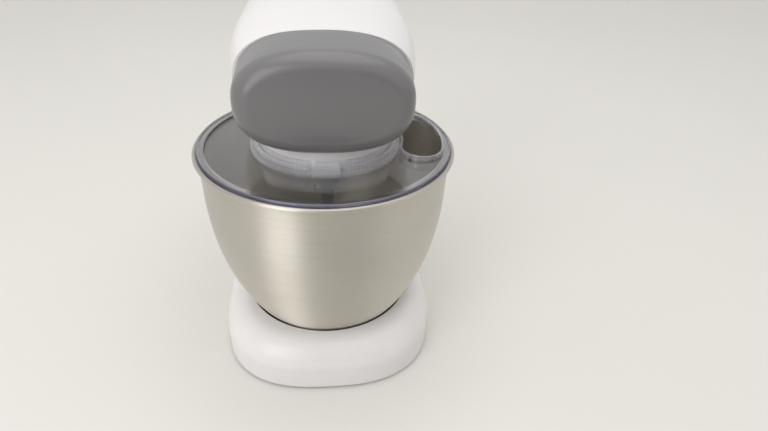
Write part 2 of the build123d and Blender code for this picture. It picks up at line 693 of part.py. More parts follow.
BUTTON_FACE = -COLUMN_HALF_WIDTH - BUTTON_STAND
BUTTON_BACK = BUTTON_FACE + BUTTON_LENGTH
NOSE_X = -ARM_OFFSET + ARM_THICKNESS / 2 + SLIDE
RISER_X = NOSE_X + RISER_OFFSET
with BuildPart() as release_button:
    with BuildSketch(side_plane(BUTTON_FACE, HINGE_Y, BUTTON_Z)):
        Circle(BUTTON_RADIUS)
    extrude(amount=BUTTON_LENGTH)
    fillet(release_button.faces().sort_by(Axis.X)[0].edges(), BUTTON_EDGE)
    with BuildSketch(side_plane(BUTTON_BACK - BOLT_SOCKET, HINGE_Y, BUTTON_Z)):
        Circle(BOLT_RADIUS + PRESS)
    extrude(amount=BOLT_SOCKET_CUT, mode=Mode.SUBTRACT)
save(release_button.part, "release_button")

with BuildPart() as lock_bolt:
    with BuildSketch(side_plane(BUTTON_BACK - BOLT_SOCKET + PRESS, HINGE_Y, BUTTON_Z)):
        Circle(BOLT_RADIUS)
    extrude(amount=RISER_X + RISER_THICKNESS - BUTTON_BACK + BOLT_SOCKET - PRESS)
    with BuildSketch(side_plane(RISER_X, HINGE_Y, HINGE_Z)):
        with Locations((0, -ARM_LENGTH)):
            Circle(BOLT_RADIUS)
        with Locations((0, -(ARM_LENGTH + BUTTON_DROP) / 2)):
            Rectangle(2 * BOLT_RADIUS, BUTTON_DROP - ARM_LENGTH)
    extrude(amount=RISER_THICKNESS)
    with BuildSketch(side_plane(NOSE_X, HINGE_Y, HINGE_Z)):
        with Locations((0, -ARM_LENGTH)):
            Circle(BOLT_RADIUS)
    extrude(amount=RISER_OFFSET)
save(lock_bolt.part, "lock_bolt")

SPRING_START = BUTTON_BACK + CLEAR + SPRING_WIRE
SPRING_END = -RIB_OFFSET - HOUSING_WALL / 2 - CLEAR - SPRING_WIRE
SPRING_PITCH = (SPRING_END - SPRING_START) / SPRING_TURNS
with BuildPart() as release_spring:
    with BuildLine() as coil:
        Helix(SPRING_PITCH, SPRING_END - SPRING_START, SPRING_RADIUS, (SPRING_START, HINGE_Y, BUTTON_Z), (1, 0, 0))
    with BuildSketch(Plane(coil.line @ 0, z_dir=coil.line % 0)):
        Circle(SPRING_WIRE)
    sweep(is_frenet=True)
save(release_spring.part, "release_spring")

# Head: shells, cap, hinge
head_outside = head_form(0.0)
head_inside = head_form(HEAD_WALL)
with BuildPart() as slot:
    with BuildSketch(side_plane(-SLOT_HALF_WIDTH, HINGE_Y, HINGE_Z)):
        with Locations((-SLOT_RADIUS, SLOT_RADIUS)):
            Rectangle(SLOT_RADIUS + SLOT_REAR, SLOT_RADIUS + 2 * HINGE_RISE, align=(Align.MIN, Align.MAX))
    extrude(amount=2 * SLOT_HALF_WIDTH)
    fillet(slot.edges().filter_by(Axis.X).group_by(Axis.Z)[-1], 16)

with BuildPart() as tunnel:
    with BuildSketch(side_plane(-SLOT_HALF_WIDTH - TUNNEL_WALL, HINGE_Y, HINGE_Z)):
        with Locations((-SLOT_RADIUS - TUNNEL_WALL, SLOT_RADIUS + TUNNEL_WALL)):
            Rectangle(
                SLOT_RADIUS + SLOT_REAR + 2 * TUNNEL_WALL,
                SLOT_RADIUS + TUNNEL_WALL + 2 * HINGE_RISE,
                align=(Align.MIN, Align.MAX),
            )
    extrude(amount=2 * SLOT_HALF_WIDTH + 2 * TUNNEL_WALL)
    fillet(tunnel.edges().filter_by(Axis.X).group_by(Axis.Z)[-1], 16 + TUNNEL_WALL)
    with BuildSketch(side_plane(-PIN_HALF_LENGTH, HINGE_Y, HINGE_Z)):
        Circle(PIN_RADIUS + 2 * BUSH_WALL)
    extrude(amount=2 * PIN_HALF_LENGTH)
    add(head_form(HEAD_WALL / 2), mode=Mode.INTERSECT)

with BuildPart() as head_lower_shell:
    add(head_outside)
    add(head_inside, mode=Mode.SUBTRACT)
    split(bisect_by=Plane.XY.offset(HEAD_MIDDLE), keep=Keep.BOTTOM)
    add(tunnel.part)
    with BuildSketch(level(HEAD_BOTTOM - COLLAR_DROP)):
        Circle(COLLAR_RADIUS)
    extrude(amount=FRAME_BOTTOM - HEAD_BOTTOM + COLLAR_DROP)
    with BuildSketch(level(HEAD_BOTTOM - COLLAR_DROP)):
        Circle(COLLAR_RADIUS - COLLAR_WALL)
    extrude(amount=FRAME_BOTTOM - HEAD_BOTTOM + COLLAR_DROP, mode=Mode.SUBTRACT)
    add(slot.part, mode=Mode.SUBTRACT)
    with BuildSketch(side_plane(-PIN_HALF_LENGTH, HINGE_Y, HINGE_Z)):
        Circle(PIN_RADIUS + PRESS)
    extrude(amount=2 * PIN_HALF_LENGTH, mode=Mode.SUBTRACT)
save(head_lower_shell.part, "head_lower_shell")

with BuildPart() as head_upper_shell:
    add(head_outside)
    add(head_inside, mode=Mode.SUBTRACT)
    split(bisect_by=Plane.XY.offset(HEAD_MIDDLE), keep=Keep.TOP)
    with BuildSketch(cross_plane(BOWL_Y + REAR_REACH + SLIDE)):
        for row in range(3):
            with Locations((0, HEAD_MIDDLE + 6 + 6 * row)):
                SlotOverall(44 - 6 * row, 3)
    extrude(amount=2 * HEAD_WALL, mode=Mode.SUBTRACT)
save(head_upper_shell.part, "head_upper_shell")

cap_middle = HEAD_BOTTOM + HEAD_FRONT_HALF_HEIGHT
spigot_width = HEAD_FRONT_HALF_WIDTH - HEAD_WALL - SPIGOT_GAP
spigot_height = HEAD_FRONT_HALF_HEIGHT - HEAD_WALL - SPIGOT_GAP
cap_outside = cap_form(0.0)
cap_inside = cap_form(CAP_WALL)
with BuildPart() as front_cap:
    add(cap_outside)
    add(cap_inside, mode=Mode.SUBTRACT)
    flange_width = spigot_width + CAP_WALL / 2
    extrude(oval_face(SEAM_Y, flange_width, spigot_height + CAP_WALL, cap_middle), amount=HEAD_WALL)
    extrude(oval_face(SEAM_Y + SPIGOT_LENGTH, spigot_width, spigot_height, cap_middle), amount=SPIGOT_LENGTH)
    hollow = oval_face(
        SEAM_Y + SPIGOT_LENGTH, spigot_width - SPIGOT_WALL, spigot_height - SPIGOT_WALL, cap_middle
    )
    extrude(hollow, amount=SPIGOT_LENGTH + HEAD_WALL, mode=Mode.SUBTRACT)
    with BuildSketch(level(HEAD_BOTTOM - SLIDE)):
        Circle(COLLAR_RADIUS + CLEAR)
    extrude(amount=FRAME_TOP - HEAD_BOTTOM + 2 * SLIDE, mode=Mode.SUBTRACT)
save(front_cap.part, "front_cap")

with BuildPart() as hinge_pin:
    with BuildSketch(side_plane(-PIN_HALF_LENGTH, HINGE_Y, HINGE_Z)):
        Circle(PIN_RADIUS)
    extrude(amount=2 * PIN_HALF_LENGTH)
save(hinge_pin.part, "hinge_pin")

with BuildPart() as lock_arm:
    with BuildSketch(side_plane(-ARM_OFFSET - ARM_THICKNESS / 2, HINGE_Y, HINGE_Z)):
        Circle(PIN_RADIUS + 2 * BUSH_WALL)
        with Locations((0, -ARM_LENGTH)):
            Circle(ARM_END_RADIUS)
        with Locations((0, -ARM_LENGTH / 2)):
            Rectangle(2 * ARM_END_RADIUS, ARM_LENGTH)
        Circle(PIN_RADIUS + PRESS, mode=Mode.SUBTRACT)
        with Locations((0, -ARM_LENGTH)):
            Circle(BOLT_RADIUS + CLEAR, mode=Mode.SUBTRACT)
    extrude(amount=ARM_THICKNESS)
save(lock_arm.part, "lock_arm")

# Lid: clear plate with a collar round the head's own collar
with BuildPart() as lid:
    with BuildSketch(FRONT):
        with BuildLine():
            step = LID_RADIUS - LID_RIM_WIDTH
            Polyline(
                (LID_COLLAR_INNER, LID_BASE),
                (step + LID_THICKNESS, LID_BASE),
                (step + LID_THICKNESS, LID_RIM),
                (LID_RADIUS, LID_RIM),
                (LID_RADIUS, LID_RIM + LID_THICKNESS + LID_EDGE_HEIGHT),
                (LID_RADIUS - LID_THICKNESS, LID_RIM + LID_THICKNESS + LID_EDGE_HEIGHT),
                (LID_RADIUS - LID_THICKNESS - LID_EDGE_HEIGHT, LID_RIM + LID_THICKNESS),
                (step, LID_RIM + LID_THICKNESS),
                (step, BOWL_RIM),
                (LID_COLLAR_OUTER, BOWL_RIM),
                (LID_COLLAR_OUTER, LID_BASE + LID_COLLAR_HEIGHT - 5),
                (LID_COLLAR_OUTER + LID_EDGE_HEIGHT, LID_BASE + LID_COLLAR_HEIGHT - 5),
                (LID_COLLAR_OUTER + LID_EDGE_HEIGHT, LID_BASE + LID_COLLAR_HEIGHT - 3.5),
                (LID_COLLAR_OUTER, LID_BASE + LID_COLLAR_HEIGHT - 3.5),
                (LID_COLLAR_OUTER, LID_BASE + LID_COLLAR_HEIGHT),
                (LID_COLLAR_INNER, LID_BASE + LID_COLLAR_HEIGHT),
                close=True,
            )
        make_face()
    revolve(axis=Axis((0, BOWL_Y, 0), (0, 0, 1)))
    chute_arc = CenterArc((0, 0), CHUTE_RADIUS, CHUTE_START, CHUTE_SWEEP, mode=Mode.PRIVATE)
    with BuildSketch(level(LID_BASE)):
        SlotArc(chute_arc, CHUTE_WIDTH + 2 * CHUTE_WALL)
    extrude(amount=CHUTE_LIP)
    with BuildSketch(level(LID_BASE)):
        SlotArc(chute_arc, CHUTE_WIDTH)
    extrude(amount=CHUTE_LIP, mode=Mode.SUBTRACT)
    with BuildSketch(level(BOWL_RIM + LID_THICKNESS)):
        with Locations((0, -LID_COLLAR_INNER)):
            Rectangle(TAB_WIDTH + 2 * NOTCH_WIDTH, 4 * LID_COLLAR_WALL)
    extrude(amount=LID_COLLAR_HEIGHT, mode=Mode.SUBTRACT)
    with BuildSketch(level(LID_BASE)):
        with Locations((0, -LID_COLLAR_OUTER)):
            Rectangle(TAB_WIDTH, TAB_REACH, align=(Align.CENTER, Align.MAX))
    extrude(amount=TAB_HEIGHT)
    fillet(lid.edges().filter_by(Axis.Y).group_by(Axis.Z)[-1], 3)
save(lid.part, "lid")

# Planetary drive under the head
with BuildPart() as ring_gear:
    with BuildSketch(FRONT):
        with BuildLine():
            wall = RING_TEETH * PLANET_MODULE / 2 + 4
            Polyline(
                (wall - 8, RING_BOTTOM),
                (wall + 3, RING_BOTTOM),
                (wall + 3, FRAME_BOTTOM - 4),
                (COLLAR_RADIUS - COLLAR_WALL - SWING, FRAME_BOTTOM - 4),
                (COLLAR_RADIUS - COLLAR_WALL - SWING, FRAME_BOTTOM),
                (wall, FRAME_BOTTOM),
                (wall, RING_BOTTOM + GEAR_WIDTH + SWING),
                (wall - 8, RING_BOTTOM + GEAR_WIDTH + SWING),
                close=True,
            )
        make_face()
    revolve(axis=Axis((0, BOWL_Y, 0), (0, 0, 1)))
    ring_pitch = RING_TEETH * PLANET_MODULE / 2
    ring_root = ring_pitch + TOOTH_ROOT * PLANET_MODULE
    ring_tip = ring_pitch - TOOTH_TIP * PLANET_MODULE
    gaps = gear_face(
        level(RING_BOTTOM), RING_TEETH, PLANET_MODULE, PLANET_SIDE, ring_root, ring_tip, -BACKLASH
    )
    extrude(gaps, amount=GEAR_WIDTH + SWING, mode=Mode.SUBTRACT)
save(ring_gear.part, "ring_gear")

with BuildPart() as planet_carrier:
    with BuildSketch(level(CARRIER_BOTTOM)):
        Circle(CARRIER_RADIUS)
    extrude(amount=CARRIER_THICKNESS)
    fillet(planet_carrier.faces().sort_by(Axis.Z)[0].edges(), 5)
    with BuildSketch(level(CARRIER_TOP)):
        Circle(CARRIER_HUB_RADIUS)
    extrude(amount=FRAME_BOTTOM - CARRIER_TOP - SWING)
    with BuildSketch(level(CARRIER_BOTTOM - SPINDLE_BOSS_DEPTH, PLANET_Y)):
        Circle(SPINDLE_RADIUS + 6)
    extrude(amount=SPINDLE_BOSS_DEPTH + CARRIER_THICKNESS / 2)
    with BuildSketch(level(CARRIER_BOTTOM - SPINDLE_BOSS_DEPTH, PLANET_Y)):
        Circle(SPINDLE_RADIUS + 2.5)
    extrude(amount=SPINDLE_BOSS_DEPTH + CARRIER_THICKNESS, mode=Mode.SUBTRACT)
    with BuildSketch(level(CARRIER_BOTTOM + HOUSING_WALL)):
        Circle(CARRIER_SHAFT_RADIUS + PRESS)
    extrude(amount=FRAME_BOTTOM - CARRIER_BOTTOM, mode=Mode.SUBTRACT)
save(planet_carrier.part, "planet_carrier")

with BuildPart() as spindle_bush:
    with BuildSketch(level(CARRIER_BOTTOM - SPINDLE_BOSS_DEPTH, PLANET_Y)):
        Circle(SPINDLE_RADIUS + 2.5 - PRESS)
        Circle(SPINDLE_RADIUS + RUN, mode=Mode.SUBTRACT)
    extrude(amount=SPINDLE_BOSS_DEPTH + CARRIER_THICKNESS)
save(spindle_bush.part, "spindle_bush")

with BuildPart() as tool_spindle:
    with BuildSketch(level(SPINDLE_TIP, PLANET_Y)):
        Circle(SPINDLE_END_RADIUS)
    extrude(amount=SPINDLE_END_LENGTH)
    with BuildSketch(level(SPINDLE_TIP + SPINDLE_END_LENGTH, PLANET_Y)):
        Circle(SPINDLE_RADIUS)
    extrude(amount=RING_BOTTOM + GEAR_WIDTH + SWING - SPINDLE_TIP - SPINDLE_END_LENGTH)
    chamfer(tool_spindle.faces().sort_by(Axis.Z)[0].edges(), 1)
    with BuildSketch(side_plane(-3 * SPINDLE_RADIUS, PLANET_Y, SPINDLE_TIP + CROSS_PIN_RISE)):
        Circle(CROSS_PIN_RADIUS + PRESS)
    extrude(amount=6 * SPINDLE_RADIUS, mode=Mode.SUBTRACT)
save(tool_spindle.part, "tool_spindle")

with BuildPart() as cross_pin:
    with BuildSketch(side_plane(-SPINDLE_RADIUS - 4, PLANET_Y, SPINDLE_TIP + CROSS_PIN_RISE)):
        Circle(CROSS_PIN_RADIUS)
    extrude(amount=2 * SPINDLE_RADIUS + 8)
save(cross_pin.part, "cross_pin")

with BuildPart() as planet_pinion:
    teeth = gear_face(
        level(RING_BOTTOM + SWING / 2, PLANET_Y), PLANET_TEETH, PLANET_MODULE, PLANET_SIDE,
        tip(PLANET_TEETH, PLANET_MODULE), root(PLANET_TEETH, PLANET_MODULE), BACKLASH,
    )
    extrude(teeth, amount=GEAR_WIDTH)
    with BuildSketch(level(RING_BOTTOM, PLANET_Y)):
        Circle(SPINDLE_RADIUS + PRESS)
    extrude(amount=2 * GEAR_WIDTH, mode=Mode.SUBTRACT)
save(planet_pinion.part, "planet_pinion")

with BuildPart() as carrier_shaft:
    with BuildSketch(level(CARRIER_BOTTOM + HOUSING_WALL + PRESS)):
        Circle(CARRIER_SHAFT_RADIUS)
    extrude(amount=TOP_PLATE_TOP - CARRIER_BOTTOM - HOUSING_WALL)
save(carrier_shaft.part, "carrier_shaft")

with BuildPart() as drive_gear:
    teeth = gear_face(
        level(GEAR_BOTTOM), DRIVE_TEETH, DRIVE_MODULE, 90.0,
        tip(DRIVE_TEETH, DRIVE_MODULE), root(DRIVE_TEETH, DRIVE_MODULE), BACKLASH,
    )
    extrude(teeth, amount=GEAR_WIDTH)
    with BuildSketch(level(GEAR_BOTTOM)):
        Circle(CARRIER_SHAFT_RADIUS + 5)
    extrude(amount=GEAR_WIDTH + 6)
    with BuildSketch(level(GEAR_BOTTOM)):
        Circle(CARRIER_SHAFT_RADIUS + PRESS)
    extrude(amount=GEAR_WIDTH + 6, mode=Mode.SUBTRACT)
save(drive_gear.part, "drive_gear")

# Frame that carries the gears and the motor
SHAFTS = [(BOWL_Y, CARRIER_SHAFT_RADIUS), (LAY_Y, LAY_SHAFT_RADIUS), (MOTOR_Y, LAY_SHAFT_RADIUS)]
FRAME_REAR = MOTOR_Y + STATOR_HALF_LENGTH
with BuildPart() as gear_frame:
    with BuildSketch(level(FRAME_BOTTOM, 0)):
        with Locations((0, BOWL_Y)):
            Circle(COLLAR_RADIUS - COLLAR_WALL / 2)
        with Locations((0, BOWL_Y)):
            Rectangle(2 * FRAME_HALF_WIDTH, 2 * COLLAR_RADIUS, mode=Mode.INTERSECT)
        with Locations((0, BOWL_Y)):
            Rectangle(2 * FRAME_HALF_WIDTH, FRAME_REAR - BOWL_Y, align=(Align.CENTER, Align.MIN))
    extrude(amount=FRAME_THICKNESS)
    with BuildSketch(level(FRAME_BOTTOM, 0)):
        for y, radius in SHAFTS:
            with Locations((0, y)):
                Circle(radius + BEARING_WALL + HOUSING_RIM)
    extrude(amount=BEARING_HEIGHT)
    with BuildSketch(level(FRAME_TOP, 0)):
        with Locations(*FRAME_SCREWS):
            Circle(PILLAR_RADIUS)
    extrude(amount=FRAME_SPAN)
    with BuildSketch(level(FRAME_TOP, 0)):
        with Locations(*MOTOR_POSTS):
            Circle(PILLAR_RADIUS)
    extrude(amount=STATOR_RISE)
    with BuildSketch(level(FRAME_BOTTOM, 0)):
        for y, radius in SHAFTS:
            with Locations((0, y)):
                Circle(radius + BEARING_WALL)
    extrude(amount=BEARING_HEIGHT, mode=Mode.SUBTRACT)
save(gear_frame.part, "gear_frame")

with BuildPart() as top_plate:
    with BuildSketch(level(TOP_PLATE, 0)):
        with Locations((0, BOWL_Y - 20)):
            Rectangle(2 * FRAME_HALF_WIDTH - 2, MOTOR_Y + 20 - BOWL_Y + 20, align=(Align.CENTER, Align.MIN))
        for y, radius in SHAFTS:
            with Locations((0, y)):
                Circle(radius + BEARING_WALL, mode=Mode.SUBTRACT)
        with Locations(*FRAME_SCREWS):
            Circle(SCREW_RADIUS, mode=Mode.SUBTRACT)
    extrude(amount=FRAME_THICKNESS)
save(top_plate.part, "top_plate")

with BuildPart() as frame_screws:
    for x, y in FRAME_SCREWS:
        with BuildSketch(level(TOP_PLATE_TOP, y, x)):
            Circle(SCREW_HEAD_RADIUS)
        extrude(amount=SCREW_HEAD_HEIGHT)
        with BuildSketch(level(TOP_PLATE_TOP, y, x)):
            Circle(SCREW_RADIUS - PRESS)
        extrude(amount=-FRAME_THICKNESS)
save(frame_screws.part, "frame_screws")

with BuildPart() as shaft_bearings:
    for y, radius in SHAFTS:
        for bottom, height in ((FRAME_BOTTOM, BEARING_HEIGHT), (TOP_PLATE, FRAME_THICKNESS)):
            with BuildSketch(level(bottom, y)):
                Circle(radius + BEARING_WALL - PRESS)
                Circle(radius + RUN, mode=Mode.SUBTRACT)
            extrude(amount=height)
save(shaft_bearings.part, "shaft_bearings")

# Lay shaft between the belt and the drive gear
with BuildPart() as lay_shaft:
    with BuildSketch(level(FRAME_BOTTOM, LAY_Y)):
        Circle(LAY_SHAFT_RADIUS)
    extrude(amount=BELT_TOP + PULLEY_FLANGE - FRAME_BOTTOM)
save(lay_shaft.part, "lay_shaft")

with BuildPart() as lay_pinion:
    teeth = gear_face(
        level(GEAR_BOTTOM - SWING / 2, LAY_Y), LAY_TEETH, DRIVE_MODULE, -90.0 + 180.0 / LAY_TEETH,
        tip(LAY_TEETH, DRIVE_MODULE), root(LAY_TEETH, DRIVE_MODULE), BACKLASH,
    )
    extrude(teeth, amount=GEAR_WIDTH + SWING)
    with BuildSketch(level(GEAR_BOTTOM - SWING, LAY_Y)):
        Circle(LAY_SHAFT_RADIUS + PRESS)
    extrude(amount=2 * GEAR_WIDTH, mode=Mode.SUBTRACT)
save(lay_pinion.part, "lay_pinion")


def pulley(y, radius):
    """Flanged belt pulley on a shaft at y."""
    with BuildPart() as wheel:
        with BuildSketch(level(BELT_BOTTOM - PULLEY_FLANGE, y)):
            Circle(radius + 2 * PULLEY_FLANGE)
        extrude(amount=PULLEY_FLANGE - CLEAR)
        with BuildSketch(level(BELT_BOTTOM - CLEAR, y)):
            Circle(radius)
        extrude(amount=BELT_WIDTH + 2 * CLEAR)
        with BuildSketch(level(BELT_TOP + CLEAR, y)):
            Circle(radius + 2 * PULLEY_FLANGE)
        extrude(amount=PULLEY_FLANGE - CLEAR)
        with BuildSketch(level(BELT_BOTTOM - PULLEY_FLANGE, y)):
            Circle(LAY_SHAFT_RADIUS + PRESS)
        extrude(amount=BELT_WIDTH + 2 * PULLEY_FLANGE, mode=Mode.SUBTRACT)
    return wheel.part


save(pulley(LAY_Y, LAY_PULLEY_RADIUS), "lay_pulley")
save(pulley(MOTOR_Y, MOTOR_PULLEY_RADIUS), "motor_pulley")


with BuildPart() as drive_belt:
    for growth, mode in ((CLEAR + BELT_THICKNESS, Mode.ADD), (CLEAR, Mode.SUBTRACT)):
        with BuildSketch(level(BELT_BOTTOM, LAY_Y)):
            Circle(LAY_PULLEY_RADIUS + growth)
            with Locations((0, BELT_CENTRES)):
                Circle(MOTOR_PULLEY_RADIUS + growth)
            make_hull()
        extrude(amount=BELT_WIDTH, mode=mode)
save(drive_belt.part, "drive_belt")

# Motor, upright behind the lay shaft
with BuildPart() as motor_stator:
    with BuildSketch(level(STATOR_BOTTOM, MOTOR_Y)):
        RectangleRounded(2 * STATOR_HALF_WIDTH, 2 * STATOR_HALF_LENGTH, 6)
        Circle(CORE_RADIUS + AIR_GAP, mode=Mode.SUBTRACT)
        with GridLocations(2 * (CORE_RADIUS + AIR_GAP + SWING) + COIL_WIDTH, 18 + COIL_LEG, 2, 2):
            Rectangle(COIL_WIDTH + 2 * CLEAR, COIL_LEG + 2 * CLEAR, mode=Mode.SUBTRACT)
    extrude(amount=STATOR_HEIGHT)
save(motor_stator.part, "motor_stator")

COIL_MIDDLE = (STATOR_BOTTOM + STATOR_TOP) / 2
with BuildPart() as field_windings:
    for side in (-1, 1):
        start = side * (CORE_RADIUS + AIR_GAP + SWING)
        with BuildSketch(side_plane(start, MOTOR_Y, COIL_MIDDLE)):
            RectangleRounded(18 + 2 * COIL_LEG, STATOR_HEIGHT + 2 * COIL_OVERHANG, 3)
            Rectangle(18, STATOR_HEIGHT + 2 * CLEAR, mode=Mode.SUBTRACT)
        extrude(amount=side * COIL_WIDTH)
save(field_windings.part, "field_windings")

with BuildPart() as armature_shaft:
    with BuildSketch(level(FRAME_BOTTOM, MOTOR_Y)):
        Circle(LAY_SHAFT_RADIUS)
    extrude(amount=BELT_TOP + PULLEY_FLANGE - FRAME_BOTTOM)
save(armature_shaft.part, "armature_shaft")

with BuildPart() as armature_core:
    with BuildSketch(level(STATOR_BOTTOM, MOTOR_Y)):
        Circle(CORE_RADIUS)
        with PolarLocations(CORE_RADIUS - 2, CORE_SLOTS):
            Rectangle(6, 1.6, mode=Mode.SUBTRACT)
        Circle(LAY_SHAFT_RADIUS + PRESS, mode=Mode.SUBTRACT)
    extrude(amount=STATOR_HEIGHT)
save(armature_core.part, "armature_core")

COMMUTATOR_BOTTOM = FRAME_BOTTOM + BEARING_HEIGHT + SLIDE
with BuildPart() as commutator:
    with BuildSketch(level(COMMUTATOR_BOTTOM, MOTOR_Y)):
        Circle(COMMUTATOR_RADIUS)
        Circle(LAY_SHAFT_RADIUS + PRESS, mode=Mode.SUBTRACT)
    extrude(amount=COMMUTATOR_HEIGHT)
save(commutator.part, "commutator")

FAN_BOTTOM = STATOR_TOP + COIL_OVERHANG + SLIDE
with BuildPart() as cooling_fan:
    with BuildSketch(level(FAN_BOTTOM, MOTOR_Y)):
        Circle(FAN_RADIUS)
    extrude(amount=1.2)
    with BuildSketch(level(FAN_BOTTOM + 1.2, MOTOR_Y)):
        Circle(LAY_SHAFT_RADIUS + 3)
        with PolarLocations((FAN_RADIUS + LAY_SHAFT_RADIUS) / 2, FAN_BLADES):
            Rectangle(FAN_RADIUS - LAY_SHAFT_RADIUS - 2, 1.2)
    extrude(amount=TOP_PLATE - FAN_BOTTOM - 1.2 - SLIDE)
    with BuildSketch(level(FAN_BOTTOM, MOTOR_Y)):
        Circle(LAY_SHAFT_RADIUS + PRESS)
    extrude(amount=TOP_PLATE - FAN_BOTTOM, mode=Mode.SUBTRACT)
save(cooling_fan.part, "cooling_fan")

with BuildPart() as brush_holders:
    for side in (-1, 1):
        with BuildSketch(level(FRAME_TOP, MOTOR_Y)):
            with Locations((0, side * (COMMUTATOR_RADIUS + HOUSING_RIM + SWING + 4.5))):
                Rectangle(9, 9)
        extrude(amount=BEARING_HEIGHT - FRAME_THICKNESS + SLIDE + COMMUTATOR_HEIGHT)
        with BuildSketch(level(COMMUTATOR_BOTTOM + 1, MOTOR_Y)):
            with Locations((0, side * (COMMUTATOR_RADIUS + CLEAR + 4))):
                Rectangle(5, 8)
        extrude(amount=COMMUTATOR_HEIGHT - 2)
save(brush_holders.part, "brush_holders")
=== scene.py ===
"""A stand mixer with a steel bowl, a clear lid and a tilting head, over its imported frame."""

import json
import logging
import math
from dataclasses import dataclass, field
from enum import Enum, IntEnum

import bmesh
import bpy
from mathutils import Matrix, Vector

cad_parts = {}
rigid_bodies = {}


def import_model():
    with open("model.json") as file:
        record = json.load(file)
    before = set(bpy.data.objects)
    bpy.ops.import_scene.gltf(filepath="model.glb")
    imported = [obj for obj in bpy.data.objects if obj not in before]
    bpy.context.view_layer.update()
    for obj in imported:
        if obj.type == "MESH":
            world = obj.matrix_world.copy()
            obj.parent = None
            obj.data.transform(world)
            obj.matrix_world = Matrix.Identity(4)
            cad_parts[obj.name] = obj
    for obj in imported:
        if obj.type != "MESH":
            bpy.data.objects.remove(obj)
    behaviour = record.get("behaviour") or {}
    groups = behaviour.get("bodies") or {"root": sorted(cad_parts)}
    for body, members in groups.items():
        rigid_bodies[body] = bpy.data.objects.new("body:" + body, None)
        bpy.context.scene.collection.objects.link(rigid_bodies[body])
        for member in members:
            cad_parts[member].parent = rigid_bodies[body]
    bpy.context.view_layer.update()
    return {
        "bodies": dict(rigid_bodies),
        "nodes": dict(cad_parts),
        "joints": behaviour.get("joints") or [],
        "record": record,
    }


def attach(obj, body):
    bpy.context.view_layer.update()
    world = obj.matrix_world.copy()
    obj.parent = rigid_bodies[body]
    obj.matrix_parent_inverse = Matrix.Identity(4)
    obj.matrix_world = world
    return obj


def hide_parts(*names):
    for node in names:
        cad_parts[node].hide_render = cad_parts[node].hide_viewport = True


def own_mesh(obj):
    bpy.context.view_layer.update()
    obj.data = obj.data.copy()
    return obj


LOG = logging.getLogger("mixer")

Colour = tuple[float, float, float]
Place = tuple[float, float, float]
Point = tuple[float, float]

MM = 0.001
BOWL_Y = -59.5 * MM
UPRIGHT = (0.0, 0.0, 1.0)
SAME_POINT = 0.01 * MM


class Slot(Enum):
    """Material slots of the record."""

    WHITE = "white_moulding"
    GREY = "grey_moulding"
    CLEAR = "clear_plastic"
    BOWL = "bowl_steel"
    SEAT = "dark_seat"
    COVER = "base_cover"
    FOOT = "foot_rubber"
    STEEL = "steel"
    CAST = "cast_frame"
    LAMINATION = "lamination"
    COPPER = "copper"
    NYLON = "nylon"
    BLACK = "black_plastic"
    BELT = "belt_rubber"
    BOARD = "board"
    BRONZE = "bronze"


class BowlSide(IntEnum):
    """Materials of the bowl, in the order of its material slots; the inside one is a lighter copy
    of the steel with painted light, and the rim one partly paints a highlight.
    """

    OUTSIDE = 0
    INSIDE = 1
    RIM = 2


class LidSide(IntEnum):
    """Materials of the lid, in the order of its material slots; the collar one is a pale veil that
    paints a highlight.
    """

    PLATE = 0
    COLLAR = 1
    UNDER = 2


